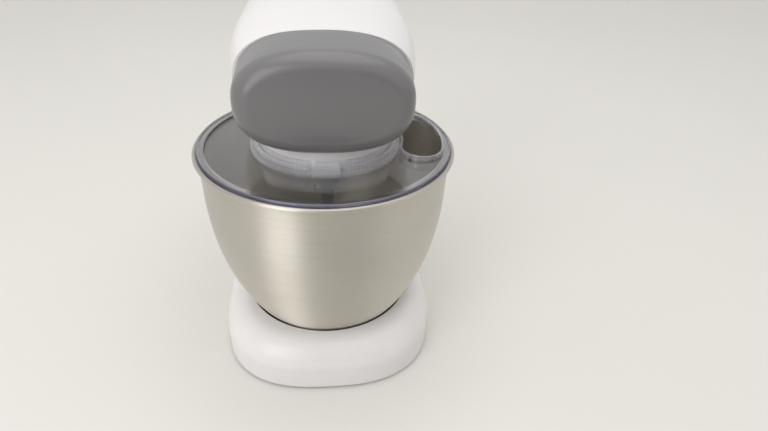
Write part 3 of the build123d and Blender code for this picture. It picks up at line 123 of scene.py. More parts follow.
class Wiring:
    """Small helper that adds nodes to a tree and joins them."""

    def __init__(self, tree: bpy.types.NodeTree) -> None:
        """Keep the tree.

        Args:
            tree: Node tree that gets the nodes.
        """
        self.tree = tree

    def add(self, kind: str, **values: object) -> bpy.types.Node:
        """Add a node and set its properties.

        Args:
            kind: Blender's name of the node type.
            values: Properties of the node.

        Returns:
            The new node.
        """
        node = self.tree.nodes.new(kind)
        for name, value in values.items():
            setattr(node, name, value)
        return node

    def join(self, source: bpy.types.NodeSocket, target: bpy.types.NodeSocket) -> None:
        """Link an output to an input."""
        self.tree.links.new(source, target)

    def feed(self, socket: bpy.types.NodeSocket, value: object) -> None:
        """Link a socket to an input, or set the input to a number.

        Args:
            socket: The input.
            value: Socket or number.
        """
        if isinstance(value, bpy.types.NodeSocket):
            self.join(value, socket)
        else:
            socket.default_value = value

    def math(
        self, operation: str, first: object, second: object = 0.0, third: object = 0.0
    ) -> bpy.types.NodeSocket:
        """Add a math node.

        Args:
            operation: Blender's name of the operation.
            first: Socket or number.
            second: Socket or number.
            third: Socket or number.

        Returns:
            The result's socket.
        """
        node = self.add("ShaderNodeMath", operation=operation)
        for socket, value in zip(node.inputs, (first, second, third)):
            self.feed(socket, value)
        return node.outputs[0]

    def place(self) -> bpy.types.NodeSocket:
        """Object coordinates."""
        return self.add("ShaderNodeTexCoord").outputs["Object"]

    def noise(
        self, vector: bpy.types.NodeSocket, scale: object, detail: float = 2.0
    ) -> bpy.types.NodeSocket:
        """Add a noise texture.

        Args:
            vector: Coordinates.
            scale: Socket or number of features for each metre.
            detail: Number of finer layers.

        Returns:
            Socket of the noise's value.
        """
        node = self.add("ShaderNodeTexNoise")
        node.inputs["Detail"].default_value = detail
        self.join(vector, node.inputs["Vector"])
        self.feed(node.inputs["Scale"], scale)
        return node.outputs["Fac"]

    def ramp(
        self, value: bpy.types.NodeSocket, start: float, end: float, kind: str = "LINEAR"
    ) -> bpy.types.NodeSocket:
        """Turn a value into a share that goes from 0 to 1.

        Args:
            value: Socket of the value.
            start: Value at which the share is 0.
            end: Value at which it is 1.
            kind: Blender's name of the interpolation.

        Returns:
            Socket of the share.
        """
        node = self.add("ShaderNodeMapRange", interpolation_type=kind)
        node.inputs["From Min"].default_value = start
        node.inputs["From Max"].default_value = end
        self.join(value, node.inputs["Value"])
        return node.outputs[0]

    def blend(
        self, first: Colour, second: Colour, share: bpy.types.NodeSocket
    ) -> bpy.types.NodeSocket:
        """Go from one colour to another.

        Args:
            first: Colour at share 0.
            second: Colour at share 1.
            share: Socket of the share.

        Returns:
            Socket of the colour.
        """
        node = self.add("ShaderNodeMix", data_type="RGBA")
        node.inputs["A"].default_value = (*first, 1.0)
        node.inputs["B"].default_value = (*second, 1.0)
        self.join(share, node.inputs["Factor"])
        return node.outputs["Result"]

    def shade(
        self, colour: bpy.types.NodeSocket, value: bpy.types.NodeSocket
    ) -> bpy.types.NodeSocket:
        """Make a colour lighter or darker by a factor around 1.

        Args:
            colour: Colour socket.
            value: Factor socket.

        Returns:
            Socket of the changed colour.
        """
        node = self.add("ShaderNodeHueSaturation")
        self.join(colour, node.inputs["Color"])
        self.join(value, node.inputs["Value"])
        return node.outputs["Color"]

    def around_axis(
        self, centre_y: object
    ) -> tuple[bpy.types.Node, bpy.types.NodeSocket, bpy.types.NodeSocket]:
        """Find a point's place round an upright axis.

        Args:
            centre_y: Socket or number of the axis's place along Y.

        Returns:
            The node with the single coordinates, the depth behind the axis and the distance to it.
        """
        split = self.add("ShaderNodeSeparateXYZ")
        self.join(self.place(), split.inputs[0])
        depth = self.math("SUBTRACT", split.outputs["Y"], centre_y)
        across = self.math("POWER", split.outputs["X"], 2.0)
        return split, depth, self.math("SQRT", self.math("MULTIPLY_ADD", depth, depth, across))


class Effects:
    """Shader node groups that several finishes share."""

    MIDDLE = 0.5
    RIPPLE_DETAIL = 3.0
    CLOUD_SCALE = 26.0
    CLOUD_DETAIL = 4.0
    SHEEN_BREAK = 0.16
    LINE_CHANGE = 0.0022
    LINE_DETAIL = 3.0
    FINE_SHARE = 0.55
    COARSE_SHARE = 0.45
    COARSE_SCALE = 0.22
    SMEAR_DETAIL = 5.0
    SMEAR_RANGE = (0.3, 0.8)

    def __init__(self) -> None:
        """Build every group once."""
        self.skin = self._moulded_skin()
        self.turned = self._turned_lines()
        self.marks = self._handling_marks()

    @staticmethod
    def _open(
        name: str, inputs: dict[str, str], outputs: dict[str, str]
    ) -> tuple[Wiring, bpy.types.Node, bpy.types.Node]:
        """Start a group with named sockets.

        Args:
            name: Group name.
            inputs: Socket type by input name.
            outputs: Socket type by output name.

        Returns:
            The wiring helper, the input node and the output node.
        """
        tree = bpy.data.node_groups.new(name, "ShaderNodeTree")
        for label, kind in inputs.items():
            tree.interface.new_socket(name=label, in_out="INPUT", socket_type=kind)
        for label, kind in outputs.items():
            tree.interface.new_socket(name=label, in_out="OUTPUT", socket_type=kind)
        wiring = Wiring(tree)
        return wiring, wiring.add("NodeGroupInput"), wiring.add("NodeGroupOutput")

    def _moulded_skin(self) -> bpy.types.NodeTree:
        """Fine ripple and faint cloudiness of a moulded surface.

        Returns:
            The group.
        """
        wiring, given, result = self._open(
            "moulded_skin",
            {"Colour": "NodeSocketColor", "Ripples": "NodeSocketFloat", "Cloud": "NodeSocketFloat"},
            {
                "Colour": "NodeSocketColor",
                "Sheen Break": "NodeSocketFloat",
                "Height": "NodeSocketFloat",
            },
        )
        place = wiring.place()
        ripple = wiring.noise(place, given.outputs["Ripples"], self.RIPPLE_DETAIL)
        cloud = wiring.noise(place, self.CLOUD_SCALE, self.CLOUD_DETAIL)
        centred = wiring.math("SUBTRACT", cloud, self.MIDDLE)
        factor = wiring.math("MULTIPLY_ADD", centred, given.outputs["Cloud"], 1.0)
        wiring.join(wiring.shade(given.outputs["Colour"], factor), result.inputs["Colour"])
        sheen = wiring.math("MULTIPLY", centred, self.SHEEN_BREAK)
        wiring.join(sheen, result.inputs["Sheen Break"])
        wiring.join(ripple, result.inputs["Height"])
        return wiring.tree

    def _turned_lines(self) -> bpy.types.NodeTree:
        """Fine lines that run round an upright axis, as brushing on a turned sheet leaves them.

        Returns:
            The group.
        """
        wiring, given, result = self._open(
            "turned_lines",
            {
                "Colour": "NodeSocketColor",
                "Centre Y": "NodeSocketFloat",
                "Lines": "NodeSocketFloat",
                "Contrast": "NodeSocketFloat",
            },
            {"Colour": "NodeSocketColor", "Break": "NodeSocketFloat", "Height": "NodeSocketFloat"},
        )
        split, depth, reach = wiring.around_axis(given.outputs["Centre Y"])
        turn = wiring.math("ARCTAN2", split.outputs["X"], depth)
        packed = wiring.add("ShaderNodeCombineXYZ")
        wiring.join(wiring.math("MULTIPLY", turn, self.LINE_CHANGE), packed.inputs["X"])
        wiring.join(split.outputs["Z"], packed.inputs["Y"])
        wiring.join(reach, packed.inputs["Z"])
        fine = wiring.noise(packed.outputs[0], given.outputs["Lines"], self.LINE_DETAIL)
        wide = wiring.math("MULTIPLY", given.outputs["Lines"], self.COARSE_SCALE)
        coarse = wiring.noise(packed.outputs[0], wide)
        part = wiring.math("MULTIPLY", fine, self.FINE_SHARE)
        mixed = wiring.math("MULTIPLY_ADD", coarse, self.COARSE_SHARE, part)
        centred = wiring.math("SUBTRACT", mixed, self.MIDDLE)
        factor = wiring.math("MULTIPLY_ADD", centred, given.outputs["Contrast"], 1.0)
        wiring.join(wiring.shade(given.outputs["Colour"], factor), result.inputs["Colour"])
        wiring.join(centred, result.inputs["Break"])
        wiring.join(mixed, result.inputs["Height"])
        return wiring.tree

    def _handling_marks(self) -> bpy.types.NodeTree:
        """Soft smudges left by hands and wiping.

        Returns:
            The group.
        """
        wiring, given, result = self._open(
            "handling_marks",
            {"Spread": "NodeSocketFloat", "Amount": "NodeSocketFloat"},
            {"Mask": "NodeSocketFloat"},
        )
        smear = wiring.noise(wiring.place(), given.outputs["Spread"], self.SMEAR_DETAIL)
        spread = wiring.ramp(smear, *self.SMEAR_RANGE, kind="SMOOTHSTEP")
        wiring.join(wiring.math("MULTIPLY", spread, given.outputs["Amount"]), result.inputs["Mask"])
        return wiring.tree


@dataclass(frozen=True)
class Finish:
    """A surface finish: moulded plastic, rubber or metal with a fine skin."""

    name: str
    colour: Colour
    roughness: float
    metallic: float = 0.0
    coat: float = 0.0
    coat_roughness: float = 0.12
    ripples: float = 1400.0
    bump: float = 0.05
    bump_depth: float = 0.4 * MM
    cloud: float = 0.06
    smudge: float = 0.05
    smudge_spread: float = 34.0

    def start(self) -> tuple[bpy.types.Material, Wiring, bpy.types.Node]:
        """Open a material with its shader.

        Returns:
            The material, its wiring helper and the shader node.
        """
        material = bpy.data.materials.new(self.name)
        material.use_nodes = True
        wiring = Wiring(material.node_tree)
        shader = material.node_tree.nodes["Principled BSDF"]
        shader.inputs["Metallic"].default_value = self.metallic
        shader.inputs["Coat Weight"].default_value = self.coat
        shader.inputs["Coat Roughness"].default_value = self.coat_roughness
        return material, wiring, shader

    def place(self, wiring: Wiring, tree: bpy.types.NodeTree, **values: object) -> bpy.types.Node:
        """Put a shared group into a material.

        Args:
            wiring: Wiring helper of the material.
            tree: The group.
            values: Values by input name, with _ for a space.

        Returns:
            The group's node.
        """
        node = wiring.add("ShaderNodeGroup", node_tree=tree)
        for label, value in values.items():
            node.inputs[label.replace("_", " ")].default_value = value
        return node

    def roughen(
        self, wiring: Wiring, shader: bpy.types.Node, effects: Effects, rough: object
    ) -> None:
        """Add the handling marks to the roughness and feed it to the shader.

        Args:
            wiring: Wiring helper of the material.
            shader: The shader node.
            effects: The shared groups.
            rough: Socket or number of the roughness without marks.
        """
        marks = self.place(wiring, effects.marks, Spread=self.smudge_spread, Amount=self.smudge)
        total = wiring.math("ADD", rough, marks.outputs["Mask"])
        wiring.join(total, shader.inputs["Roughness"])

    def relief(self, wiring: Wiring, shader: bpy.types.Node, height: bpy.types.NodeSocket) -> None:
        """Feed a height into the shader's normal.

        Args:
            wiring: Wiring helper of the material.
            shader: The shader node.
            height: Height from 0 to 1.
        """
        bump = wiring.add("ShaderNodeBump")
        bump.inputs["Strength"].default_value = self.bump
        bump.inputs["Distance"].default_value = self.bump_depth
        wiring.join(height, bump.inputs["Height"])
        wiring.join(bump.outputs["Normal"], shader.inputs["Normal"])

    def make(self, effects: Effects) -> bpy.types.Material:
        """Build the material.

        Args:
            effects: The shared groups.

        Returns:
            The material.
        """
        material, wiring, shader = self.start()
        skin = self.place(
            wiring, effects.skin, Colour=(*self.colour, 1.0), Ripples=self.ripples, Cloud=self.cloud
        )
        wiring.join(skin.outputs["Colour"], shader.inputs["Base Color"])
        rough = wiring.math("ADD", skin.outputs["Sheen Break"], self.roughness)
        self.roughen(wiring, shader, effects, rough)
        self.relief(wiring, shader, skin.outputs["Height"])
        return material


@dataclass(frozen=True)
class TurnedFinish(Finish):
    """Metal with brushed or turned lines round an upright axis."""

    bump_depth: float = 0.3 * MM
    smudge_spread: float = 22.0
    centre_y: float = 0.0
    lines: float = 1500.0
    contrast: float = 0.25
    line_break: float = 0.3
    stretch: float = 0.0
    stretch_turn: float = 0.25

    def make(self, effects: Effects) -> bpy.types.Material:
        """Build the material.

        Args:
            effects: The shared groups.

        Returns:
            The material.
        """
        material, wiring, shader = self.start()
        turned = self.place(
            wiring,
            effects.turned,
            Colour=(*self.colour, 1.0),
            Centre_Y=self.centre_y,
            Lines=self.lines,
            Contrast=self.contrast,
        )
        wiring.join(turned.outputs["Colour"], shader.inputs["Base Color"])
        shader.inputs["Anisotropic"].default_value = self.stretch
        if self.stretch:
            shader.inputs["Anisotropic Rotation"].default_value = self.stretch_turn
            lay = wiring.add("ShaderNodeTangent", direction_type="RADIAL", axis="Z")
            wiring.join(lay.outputs[0], shader.inputs["Tangent"])
        rough = wiring.math(
            "MULTIPLY_ADD", turned.outputs["Break"], self.line_break, self.roughness
        )
        self.roughen(wiring, shader, effects, rough)
        self.relief(wiring, shader, turned.outputs["Height"])
        return material


@dataclass(frozen=True)
class ClearFinish(Finish):
    """Clear plastic whose outer edge gathers a cool tint.

    It lets light straight through and mirrors a share of it, which grows at a glancing angle. Above
    the collar's foot it is made less clear, a painted highlight on the collar.
    """

    smudge_spread: float = 30.0
    ior: float = 1.49
    edge_colour: Colour = (0.36, 0.36, 0.52)
    centre_y: float = 0.0
    edge_radius: float = 109.6 * MM
    edge_width: float = 1.2 * MM
    edge_cover: float = 0.3
    collar_base: float = 204.2 * MM
    collar_fade: float = 0.8 * MM
    collar_painted_highlight: float = 0.16
    gloss: float = 0.15
    grazing: float = 0.9
    facing_blend: float = 0.5
    grazing_power: float = 4.0
    most_cover: float = 0.95

    def make(self, effects: Effects) -> bpy.types.Material:
        """Build the material.

        Args:
            effects: The shared groups.

        Returns:
            The material.
        """
        material, wiring, shader = self.start()
        shader.inputs["IOR"].default_value = self.ior
        split, _, reach = wiring.around_axis(self.centre_y)
        edge = wiring.ramp(reach, self.edge_radius, self.edge_radius + self.edge_width)
        skin = self.place(wiring, effects.skin, Ripples=self.ripples, Cloud=self.cloud)
        wiring.join(wiring.blend(self.colour, self.edge_colour, edge), skin.inputs["Colour"])
        wiring.join(skin.outputs["Colour"], shader.inputs["Base Color"])
        self.roughen(wiring, shader, effects, self.roughness)
        self.relief(wiring, shader, skin.outputs["Height"])
        facing = wiring.add("ShaderNodeLayerWeight")
        facing.inputs["Blend"].default_value = self.facing_blend
        glance = wiring.math("POWER", facing.outputs["Facing"], self.grazing_power)
        veil = wiring.math("MULTIPLY_ADD", glance, self.grazing, self.gloss)
        # Painted highlight: above the collar's foot the plastic is made less clear, so the collar's
        # rings read lighter.
        collar_top = self.collar_base + self.collar_fade
        collar = wiring.ramp(split.outputs["Z"], self.collar_base, collar_top)
        veil = wiring.math("MULTIPLY_ADD", collar, self.collar_painted_highlight, veil)
        cover = wiring.math("MULTIPLY_ADD", edge, self.edge_cover, veil)
        wiring.join(wiring.math("MINIMUM", cover, self.most_cover), shader.inputs["Alpha"])
        return material


@dataclass(frozen=True)
class Lamp:
    """A soft oblong lamp: where it hangs and its size in metres, and its power in watts."""

    name: str
    place: Place
    size: tuple[float, float]
    power: float

    def hang(self, target: Place) -> None:
        """Hang the lamp so that it faces a point.

        Args:
            target: The point.
        """
        data = bpy.data.lights.new(self.name, "AREA")
        data.shape = "RECTANGLE"
        data.size, data.size_y = self.size
        data.energy = self.power
        lamp = bpy.data.objects.new(self.name, data)
        aim = Vector(target) - Vector(self.place)
        lamp.location = self.place
        lamp.rotation_euler = aim.to_track_quat("-Z", "Y").to_euler()
        bpy.context.scene.collection.objects.link(lamp)


@dataclass
class Studio:
    """Floor, light and camera."""

    floor_size: float = 6.0
    floor_cells: int = 4
    floor_colour: Colour = (0.76, 0.74, 0.7)
    floor_roughness: float = 0.42
    floor_cloud_scale: float = 3.0
    floor_cloud: float = 0.04
    camera_place: Place = (0.0011, -0.5031, 0.414)
    pitch: float = 33.11
    roll: float = -2.72
    yaw: float = -7.0
    focal_pixels: float = 540.0
    photo_width: float = 768.0
    sensor_width: float = 36.0
    nearest: float = 0.01
    room_near: Colour = (0.06, 0.06, 0.055)
    room_far: Colour = (0.76, 0.755, 0.745)
    dark_side: Place = (0.2, -0.98, 0.0)
    dark_range: tuple[float, float] = (1.0, 0.7)
    mixer_middle: Place = (0.0, -0.04, 0.16)
    lamps: tuple[Lamp, ...] = (
        Lamp("ceiling", (0.1, 0.1, 1.9), (1.6, 1.6), 10.5),
        Lamp("window", (-0.8, -1.05, 0.8), (0.7, 1.3), 6.5),
    )

    def floor(self) -> None:
        """Lay the pale floor."""
        bm = bmesh.new()
        bmesh.ops.create_grid(
            bm, x_segments=self.floor_cells, y_segments=self.floor_cells, size=self.floor_size
        )
        mesh = bpy.data.meshes.new("floor")
        bm.to_mesh(mesh)
        bm.free()
        piece = bpy.data.objects.new("floor", mesh)
        bpy.context.scene.collection.objects.link(piece)
        material = bpy.data.materials.new("pale_floor")
        material.use_nodes = True
        wiring = Wiring(material.node_tree)
        shader = material.node_tree.nodes["Principled BSDF"]
        tone = wiring.add("ShaderNodeRGB")
        tone.outputs[0].default_value = (*self.floor_colour, 1.0)
        centred = wiring.math(
            "SUBTRACT", wiring.noise(wiring.place(), self.floor_cloud_scale), Effects.MIDDLE
        )
        cloud = wiring.math("MULTIPLY_ADD", centred, self.floor_cloud, 1.0)
        wiring.join(wiring.shade(tone.outputs[0], cloud), shader.inputs["Base Color"])
        shader.inputs["Roughness"].default_value = self.floor_roughness
        piece.data.materials.append(material)

    def light(self) -> None:
        """Hang the lamps and light the room, which is dark on one side except to the camera."""
        world = bpy.data.worlds.new("room")
        world.use_nodes = True
        back = world.node_tree.nodes["Background"]
        back.inputs["Strength"].default_value = 1.0
        wiring = Wiring(world.node_tree)
        towards = wiring.add("ShaderNodeVectorMath", operation="DOT_PRODUCT")
        towards.inputs[1].default_value = self.dark_side
        wiring.join(wiring.add("ShaderNodeTexCoord").outputs["Generated"], towards.inputs[0])
        sweep = wiring.ramp(towards.outputs["Value"], *self.dark_range, kind="SMOOTHSTEP")
        seen = wiring.add("ShaderNodeLightPath").outputs["Is Camera Ray"]
        tone = wiring.blend(self.room_near, self.room_far, wiring.math("MAXIMUM", sweep, seen))
        wiring.join(tone, back.inputs["Color"])
        bpy.context.scene.world = world
        for lamp in self.lamps:
            lamp.hang(self.mixer_middle)

    def camera(self) -> None:
        """Stand the camera where the photograph was taken."""
        pitch, yaw, roll = (math.radians(value) for value in (self.pitch, self.yaw, self.roll))
        ahead = math.cos(pitch)
        forward = Vector((-math.sin(yaw) * ahead, math.cos(yaw) * ahead, -math.sin(pitch)))
        level = Vector((math.cos(yaw), math.sin(yaw), 0.0))
        down = forward.cross(level)
        right = level * math.cos(roll) + down * math.sin(roll)
        below = down * math.cos(roll) - level * math.sin(roll)
        data = bpy.data.cameras.new("camera")
        data.sensor_width = self.sensor_width
        data.lens = self.focal_pixels / self.photo_width * self.sensor_width
        data.clip_start = self.nearest
        camera = bpy.data.objects.new("camera", data)
        turn = Matrix((right, -below, -forward)).transposed().to_4x4()
        camera.matrix_world = Matrix.Translation(Vector(self.camera_place)) @ turn
        bpy.context.scene.collection.objects.link(camera)
        bpy.context.scene.camera = camera

    def set_up(self) -> None:
        """Build the whole studio."""
        bpy.context.scene.view_settings.view_transform = "Standard"
        self.floor()
        self.light()
        self.camera()
        LOG.info("studio ready")


@dataclass
class Workshop:
    """Frame, finishes and the ways pieces are made and dressed."""

    frame: dict
    effects: Effects = field(default_factory=Effects)
    finishes: dict[Slot, bpy.types.Material] = field(default_factory=dict)
    extras: dict[str, bpy.types.Material] = field(default_factory=dict)
    same_corner: float = 0.002 * MM
    flat_angle: float = 0.02
    sharp_angle: float = 30.0
    ease_steps: int = 2

    def prepare(self, slot_finishes: dict[Slot, Finish], extra_finishes: list[Finish]) -> None:
        """Make every material.

        Args:
            slot_finishes: Finish by slot.
            extra_finishes: Further finishes of pieces that have more than one.
        """
        for slot, finish in slot_finishes.items():
            self.finishes[slot] = finish.make(self.effects)
        for finish in extra_finishes:
            self.extras[finish.name] = finish.make(self.effects)

    def slot_of(self, node: str) -> Slot:
        """Material slot of a node, from the record.

        Args:
            node: Name of the node.

        Returns:
            Its slot.
        """
        for part in self.frame["record"]["subparts"]:
            if part["node"] == node:
                return Slot(part["material_slot"])
        raise KeyError(node)

    def body_of(self, node: str) -> str:
        """Body that a node rides on.

        Args:
            node: Name of the node.

        Returns:
            Name of the body.
        """
        for body, members in self.frame["record"]["behaviour"]["bodies"].items():
            if node in members:
                return body
        raise KeyError(node)

    def dress(self, piece: bpy.types.Object, slot: Slot) -> None:
        """Give a piece its material and nothing else.

        Args:
            piece: The piece.
            slot: Slot of the material.
        """
        piece.data.materials.clear()
        piece.data.materials.append(self.finishes[slot])

    def finish_piece(
        self,
        bm: bmesh.types.BMesh,
        name: str,
        node: str,
        smooth: float = 32.0,
        stands_in: bool = True,
    ) -> bpy.types.Object:
        """Turn a bmesh into a dressed piece that stands for a node or goes with it.

        Args:
            bm: The shape, in metres in the frame.
            name: Name of the piece.
            node: Node that it stands for or goes with.
            smooth: Angle in degrees under which faces shade smoothly.
            stands_in: Whether it takes the place of the node.

        Returns:
            The piece.
        """
        mesh = bpy.data.meshes.new(name)
        bm.to_mesh(mesh)
        bm.free()
        mesh.shade_smooth()
        mesh.set_sharp_from_angle(angle=math.radians(smooth))
        piece = bpy.data.objects.new(name, mesh)
        bpy.context.scene.collection.objects.link(piece)
        slot = self.slot_of(node)
        self.dress(piece, slot)
        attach(piece, self.body_of(node))
        if stands_in:
            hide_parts(node)
        LOG.info("%s: %d faces, with %s", name, len(mesh.polygons), node)
        return piece

    def spun(self, line: list[Point], steps: int, closed: bool = False) -> bmesh.types.BMesh:
        """Spin a section round the upright axis of the bowl.

        Args:
            line: Radius and height of each point of the section.
            steps: Number of steps in the full turn.
            closed: Whether the last point joins the first.

        Returns:
            The shape.
        """
        bm = bmesh.new()
        points = [bm.verts.new((reach, BOWL_Y, height)) for reach, height in line]
        ends = points[1:] + points[:1] if closed else points[1:]
        edges = [bm.edges.new(pair) for pair in zip(points, ends)]
        bmesh.ops.spin(
            bm,
            geom=points + edges,
            axis=UPRIGHT,
            cent=(0.0, BOWL_Y, 0.0),
            angle=2 * math.pi,
            steps=steps,
            use_merge=True,
        )
        bmesh.ops.remove_doubles(bm, verts=bm.verts, dist=SAME_POINT)
        bmesh.ops.recalc_face_normals(bm, faces=bm.faces)
        return bm

    def eased(
        self, node: str, width: float, seam: float = 0.0, gap: float = 0.0
    ) -> bpy.types.Object:
        """Copy of a node with its loose triangles joined and its edges eased.

        Args:
            node: Name of the node.
            width: Width of the eased edge in metres.
            seam: Height of the level face that is drawn back.
            gap: How far that face is drawn up, or down where it is under 0.

        Returns:
            The piece.
        """
        bm = bmesh.new()
        bm.from_mesh(self.frame["nodes"][node].data)
        bmesh.ops.remove_doubles(bm, verts=bm.verts, dist=self.same_corner)
        if gap:
            level = [vert for vert in bm.verts if abs(vert.co.z - seam) < SAME_POINT]
            bmesh.ops.translate(bm, verts=level, vec=(0.0, 0.0, gap))
        flat = math.radians(self.flat_angle)
        bmesh.ops.dissolve_limit(bm, angle_limit=flat, verts=bm.verts, edges=bm.edges)
        least = math.radians(self.sharp_angle)
        joined = [edge for edge in bm.edges if edge.is_manifold]
        sharp = [edge for edge in joined if edge.calc_face_angle(0.0) > least]
        bmesh.ops.bevel(
            bm,
            geom=sharp,
            offset=width,
            offset_type="OFFSET",
            segments=self.ease_steps,
            profile=0.5,
            affect="EDGES",
            clamp_overlap=True,
            material=-1,
        )
        piece = self.finish_piece(bm, node + "_shape", node)
        shading = piece.modifiers.new("flat_faces", "WEIGHTED_NORMAL")
        shading.mode = "FACE_AREA_WITH_ANGLE"
        shading.keep_sharp = True
        return piece


@dataclass
class SteelBowl:
    """Spun steel bowl with a rolled rim."""

    shop: Workshop
    radius: float = 110.0 * MM
    waist: float = 170.0 * MM
    drop: float = 173.0 * MM
    floor: float = 37.0 * MM
    floor_rings: tuple[float, ...] = (0.0, 0.3, 0.6)
    corner: tuple[Point, ...] = ((-7.0 * MM, 0.0), (-3.2 * MM, 0.5 * MM), (-0.2 * MM, 1.9 * MM))
    curve_steps: int = 40
    corner_steps: int = 2
    rim: float = 203.0 * MM
    wall: float = 1.0 * MM
    flare: float = 1.5 * MM
    flare_steps: int = 6
    bead: float = 1.8 * MM
    bead_reach: float = 3.15 * MM
    bead_start: float = -125.0
    bead_turn: float = 16.0
    bead_points: int = 20
    steps: int = 192
    smooth: float = 40.0

    def wall_line(self, inset: float) -> list[Point]:
        """Radius and height along one side of the wall, from the floor's middle up.

        The rounded corner takes the place of the first points of the curve.

        Args:
            inset: How far the line is drawn in.

        Returns:
            Radius and height of each point.
        """
        radius, drop, floor = self.radius - inset, self.drop - inset, self.floor + inset
        turn = math.asin((self.waist - floor) / drop)
        angles = [turn * (1 - step / self.curve_steps) for step in range(self.curve_steps + 1)]
        curve = [
            (radius * math.cos(angle), self.waist - drop * math.sin(angle)) for angle in angles
        ]
        edge = curve[0][0]
        base = [(share * edge, floor) for share in self.floor_rings]
        corner = [(edge + reach, floor + rise) for reach, rise in self.corner]
        height = self.rim - 2 * self.bead - self.waist
        shares = [step / self.flare_steps for step in range(1, self.flare_steps + 1)]
        flare = [(radius + self.flare * share**2, self.waist + height * share) for share in shares]
        return [*base, *corner, *curve[self.corner_steps :], *flare]

    def bead_line(self) -> list[Point]:
        """Radius and height round the rolled rim, from the outside in.

        Returns:
            Radius and height of each point.
        """
        reach, height = self.radius + self.bead_reach, self.rim - self.bead
        degrees = [self.bead_start + self.bead_turn * step for step in range(self.bead_points)]
        turns = [math.radians(angle) for angle in degrees]
        return [
            (reach + self.bead * math.cos(turn), height + self.bead * math.sin(turn))
            for turn in turns
        ]

    def side_of(self, face: bmesh.types.BMFace) -> BowlSide:
        """Find which finish a face of the bowl has.

        Args:
            face: The face.

        Returns:
            Its side.
        """
        middle = face.calc_center_median()
        if middle.z > self.rim - 2 * self.bead:
            return BowlSide.RIM
        outward = Vector((middle.x, middle.y - BOWL_Y, -self.floor))
        return BowlSide.INSIDE if face.normal.dot(outward) < 0.0 else BowlSide.OUTSIDE

    def build(self) -> None:
        """Spin the wall and the rolled rim; the inside gets a lighter copy of the steel that paints
        light into it, and the rim a smoother copy whose lighter colour partly paints a highlight.
        """
        line = [*self.wall_line(0.0), *self.bead_line(), *reversed(self.wall_line(self.wall))]
        bm = self.shop.spun(line, self.steps)
        for face in bm.faces:
            face.material_index = self.side_of(face)
        piece = self.shop.finish_piece(bm, "bowl_shape", "bowl", self.smooth)
        for name in ("bowl_inside_painted_light", "bowl_rim_polish_and_highlight"):
            piece.data.materials.append(self.shop.extras[name])


@dataclass
class NoseCap:
    """Grey cap on the front of the head: an oval tube with a round front edge and a low crown."""

    shop: Workshop
    back_y: float = -70.2 * MM
    back_edge: Point = (0.6 * MM, 0.5 * MM)
    front_y: float = -131.5 * MM
    middle: float = 261.0 * MM
    half_width: float = 71.5 * MM
    half_height: float = 42.5 * MM
    height_share: float = 0.92
    taper: float = 3.0 * MM
    side_taper: float = 0.7
    side_steps: int = 8
    edge: float = 14.5 * MM
    edge_depth: float = 16.0 * MM
    edge_share: float = 0.985
    edge_steps: int = 16
    crown: float = 2.0 * MM
    crown_share: float = 0.98
    crown_steps: int = 14
    lip: float = 4.0 * MM
    wall: float = 2.5 * MM
    power: float = 2.5
    sides: int = 160
    smooth: float = 50.0

    def stations(self) -> list[tuple[float, float, float]]:
        """Depth and half sizes of every ring from the back to the crown.

        Returns:
            Depth, half width and half height of each ring.
        """
        start = self.front_y + self.crown + self.edge_depth
        ease, inward = self.back_edge
        rows = [(self.back_y, self.lip), (self.back_y, inward), (self.back_y - ease, 0.0)]
        for step in range(1, self.side_steps + 1):
            share = step / self.side_steps
            place = self.back_y + (start - self.back_y) * share
            rows.append((place, self.taper * self.side_taper * share))
        for step in range(1, self.edge_steps + 1):
            turn = math.pi / 2 * step / self.edge_steps
            lean = self.taper * (self.side_taper + (1 - self.side_taper) * math.sin(turn))
            inset = lean + self.edge * (1 - math.cos(turn))
            rows.append((start - self.edge_depth * math.sin(turn) * self.edge_share, inset))
        rings = [
            (y, self.half_width - inset, self.half_height - inset * self.height_share)
            for y, inset in rows
        ]
        depth, width, height = rings[-1]
        for step in range(1, self.crown_steps + 1):
            share = 1 - self.crown_share * step / self.crown_steps
            place = self.front_y + (depth - self.front_y) * share**2
            rings.append((place, width * share, height * share))
        return rings

    def build(self) -> None:
        """Shape one oval ring, extrude it from station to station and close the crown."""
        bm = bmesh.new()
        made = bmesh.ops.create_circle(bm, segments=self.sides, radius=1.0, cap_ends=False)["verts"]
        upright = Matrix.Rotation(math.pi / 2, 3, "X")
        bmesh.ops.rotate(bm, verts=made, cent=(0.0, 0.0, 0.0), matrix=upright)
        for vert in made:
            total = abs(vert.co.x) ** self.power + abs(vert.co.z) ** self.power
            vert.co *= total ** (-1 / self.power)
        size = (1.0, 1.0)
        depth = 0.0
        edges = list(bm.edges)
        for index, (y, width, height) in enumerate(self.stations()):
            if index:
                grown = bmesh.ops.extrude_edge_only(bm, edges=edges)["geom"]
                made = [item for item in grown if isinstance(item, bmesh.types.BMVert)]
                edges = [item for item in grown if isinstance(item, bmesh.types.BMEdge)]
                edges = [edge for edge in edges if all(vert in made for vert in edge.verts)]
            bmesh.ops.scale(bm, verts=made, vec=(width / size[0], 1.0, height / size[1]))
            bmesh.ops.translate(bm, verts=made, vec=(0.0, y - depth, 0.0))
            size, depth = (width, height), y
        bmesh.ops.edgeloop_fill(bm, edges=edges)
        bmesh.ops.translate(bm, verts=bm.verts, vec=(0.0, 0.0, self.middle))
        bmesh.ops.recalc_face_normals(bm, faces=bm.faces)
        piece = self.shop.finish_piece(bm, "front_cap_shape", "front_cap", self.smooth)
        wall = piece.modifiers.new("wall", "SOLIDIFY")
        wall.thickness = self.wall
        wall.offset = -1.0


